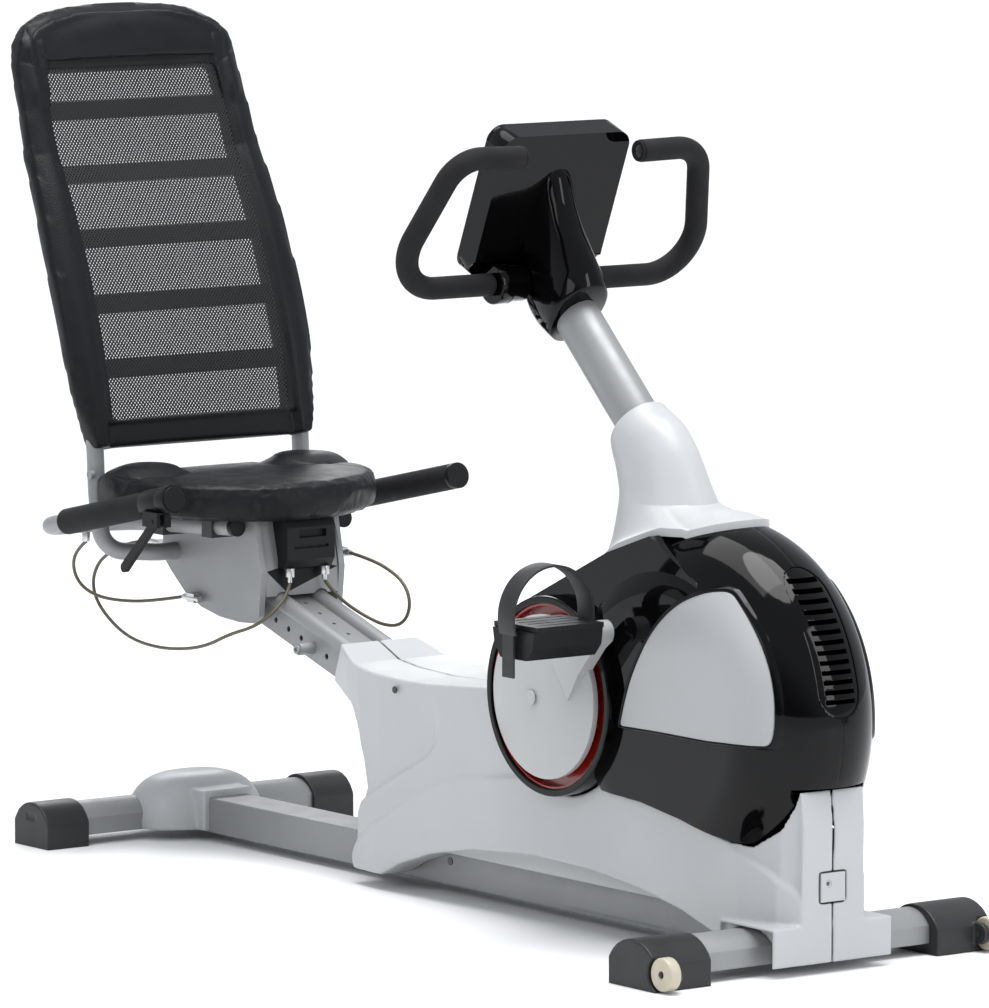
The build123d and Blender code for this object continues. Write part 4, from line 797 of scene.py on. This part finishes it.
def back_map(co):
    """Panel coordinates (sideways, up, out), in metres, to their place on the leaning backrest."""
    y, s, out = co[:, 0] / MM, co[:, 1] / MM, co[:, 2] / MM
    low = LUMBAR_REACH * (s + 8) * (s - 430) / (208 * -230) + 4 * (s + 8) * (s - 200) / (438 * 230)
    high = 4 * (660 - s) / 230
    out = out + np.where(s < 430, low, high)
    x = BACK_X - s * math.sin(LEAN) + out * math.cos(LEAN)
    z = BACK_Z + s * math.cos(LEAN) + out * math.sin(LEAN)
    return np.stack([x, y, z], axis=1) * MM


OUTER_HALF = [(187, 0), (196, 34), (206, 85), (211, 140), (211, 200), (207, 300), (203, 380), (197, 459),
              (192, 530), (188, 572), (180, 602), (162, 626), (130, 643), (90, 651), (45, 655)]
INNER_HALF = [(151, 38), (151, 90), (151, 140), (151, 230), (150, 324), (149, 440), (147, 553)]


def flat_slab(outer, inner, low, high):
    """A slab between two depths with an outer edge and a window, filled by a flat curve."""
    curve = bpy.data.curves.new("flat", "CURVE")
    curve.dimensions = "2D"
    curve.fill_mode = "BOTH"
    curve.extrude = (high - low) / 2 * MM
    for loop in (outer, inner):
        if not loop:
            continue
        spline = curve.splines.new("POLY")
        spline.points.add(len(loop) - 1)
        for point, (y, s) in zip(spline.points, loop):
            point.co = (y * MM, s * MM, 0, 1)
        spline.use_cyclic_u = True
    obj = bpy.data.objects.new("flat", curve)
    scene.collection.objects.link(obj)
    mesh = applied(obj)
    bpy.data.objects.remove(obj)
    co = places(mesh)
    co[:, 2] += (high + low) / 2 * MM
    put_back(mesh, co)
    return mesh


def ripple(co, scale, seed):
    """A smooth random field over panel coordinates, about -1 to 1."""
    spots = [Vector((c[0] * scale + seed, c[1] * scale * 0.7, c[2] * scale)) for c in co]
    return np.array([noise.noise(spot) for spot in spots])


def border_shape(co):
    """Rounded edges, seams where the head section meets the sides, and soft creases."""
    y, s, out = co[:, 0] / MM, co[:, 1] / MM, co[:, 2] / MM
    half = np.interp(s, [p[1] for p in OUTER_HALF], [p[0] for p in OUTER_HALF])
    edge = np.minimum(half - np.abs(y), 40)
    edge = np.where(s > 600, np.minimum(edge, 656 - s), edge)
    front = step(out, 12, 22)
    fall = 7.0 * (1 - step(edge, 0, 34)) ** 1.3 * step(s, 10, 90)
    seam_line = np.abs((s - 556) - (np.abs(y) - 151) * 0.42) / 1.08
    seam = np.exp(-(seam_line / 1.7) ** 2) * step(np.abs(y), 149, 153)
    brow = np.exp(-((s - 557) / 1.7) ** 2) * (1 - step(np.abs(y), 150, 154))
    swell = 7.0 * step(s, 560, 590) * (1 - step(s, 622, 656)) * (1 - 0.5 * step(np.abs(y), 80, 180))
    hem = step(33 - s, 0, 2.5)
    wave = ripple(co, 11.0, 3.0) * 0.9 + ripple(co, 31.0, 9.0) * 0.3
    leather = (1 - hem) * step(np.abs(y), 146, 158)
    over_tube = step(np.abs(y), 158, 170)
    corner = (step(s, 490, 525) * (1 - step(s, 585, 620))
              * step(np.abs(y), 136, 148) * (1 - step(np.abs(y), 172, 190)))
    behind = (1 - step(out, 3, 12)) * over_tube * (3 + 8 * np.exp(-((s - 290) / 110) ** 2))
    co[:, 2] += (front * (swell - fall - 2.0 * seam - 2.0 * brow
                          - 5.0 * hem * (1 - over_tube) + 5.0 * over_tube)
                 + front * leather * wave + front * TUBE_LIFT * corner - behind) * MM
    return co


def add_border():
    """The padded border with its window, shaped flat and then laid on the backrest."""
    outer = OUTER_HALF + [(0, 656)] + [(-y, s) for y, s in reversed(OUTER_HALF)]
    window = INNER_HALF + [(-y, s) for y, s in reversed(INNER_HALF)]
    raw = flat_slab(outer, window, 0.5, 25.5)
    mesh = reworked(raw, ("WELD", {"merge_threshold": 0.00002}),
                    ("REMESH", {"mode": "VOXEL", "voxel_size": 3.6 * MM}),
                    ("SMOOTH", {"factor": 0.5, "iterations": 5}))
    co = border_shape(places(mesh))
    put_back(mesh, back_map(co))
    mesh = puffed(mesh, 1.4, 3.0)
    obj = new_object("backrest_border_soft", mesh, "backrest", LEATHER, "backrest_border",
                     slot="leatherette")
    finer(obj)


def paint_split():
    """The silver sheet between the side plates behind its black junction box."""
    data = nodes["carriage_cover"].data
    data.materials.append(SILVER)
    for polygon in data.polygons:
        middle = polygon.center / MM
        if abs(middle.y) > 44 or middle.z < 396 or middle.x < -366:
            polygon.material_index = 1


def disc_mesh(center, axis, radius, thick, sides=48):
    """A short round plug along an axis, in millimetres."""
    axis = Vector(axis).normalized()
    turn = axis.to_track_quat("Z", "Y")
    verts = []
    for t in (-thick / 2, thick / 2):
        for k in range(sides):
            a = math.tau * k / sides
            spot = Vector((radius * math.cos(a), radius * math.sin(a), t))
            verts.append(tuple(Vector(center) + turn @ spot))
    faces = [(k, (k + 1) % sides, sides + (k + 1) % sides, sides + k) for k in range(sides)]
    faces += [tuple(range(sides - 1, -1, -1)), tuple(range(sides, 2 * sides))]
    return verts, faces


def plugs(name, body, mat, slot, places_axes, round_edge):
    """Round plugs in one piece, each given as a centre, an axis, a radius and a thickness."""
    verts, faces = [], []
    for center, axis, radius, thick in places_axes:
        more, quads = disc_mesh(center, axis, radius, thick)
        faces += [tuple(len(verts) + i for i in quad) for quad in quads]
        verts += more
    obj = new_object(name, solid_mesh(verts, faces), body, mat, slot=slot)
    edged(obj, round_edge).harden_normals = True


def add_small_parts():
    """Plugs that close off ends, and dark discs of painted shade in the recessed screw holes of the covers.
    """
    grip = (math.cos(GRIP_TILT), 0, math.sin(GRIP_TILT))
    plugs("grip_end_plug", "carriage", DARK, "dark_plastic",
          [((-327, -242, 526.3), grip, 17.2, 5.0)], 1.5)
    side = (0, -1, 0)
    # These dark discs are painted shade inside the covers' recessed screw holes.
    shaded_holes = [((-14, -91.2, 283), side, 5.0, 2.0), ((108, -86.5, 61), side, 5.5, 2.0)]
    shaded_holes += [((x, -y, z), side, r, t) for (x, y, z), _, r, t in shaded_holes]
    shaded_holes += [((465, y, 590), (-0.15, math.copysign(1, y), 0.1), 4.6, 3.0) for y in (-51.5, 51.5)]
    plugs("screw_hole_shades", "frame", BLACK_STEEL_AND_HOLE_SHADE, "inner_steel", shaded_holes, 0.5)
    plugs("crank_eye_caps", "crank", DISC, "disc_plastic",
          [((CRANK_X, y, CRANK_Z), side, 10.5, 3.0) for y in (-147.3, 147.3)], 1.2)


paint_split()
add_small_parts()
add_shells()
add_tower()
add_neck()
add_panels()
upholstered("seat_cushion", 4.6, 3, 3.0, 5.0, "carriage", cushion_shape)
add_border()
upholstered("head_pad", 4.0, 8, 0.5, 1.0, "backrest", head_shape)
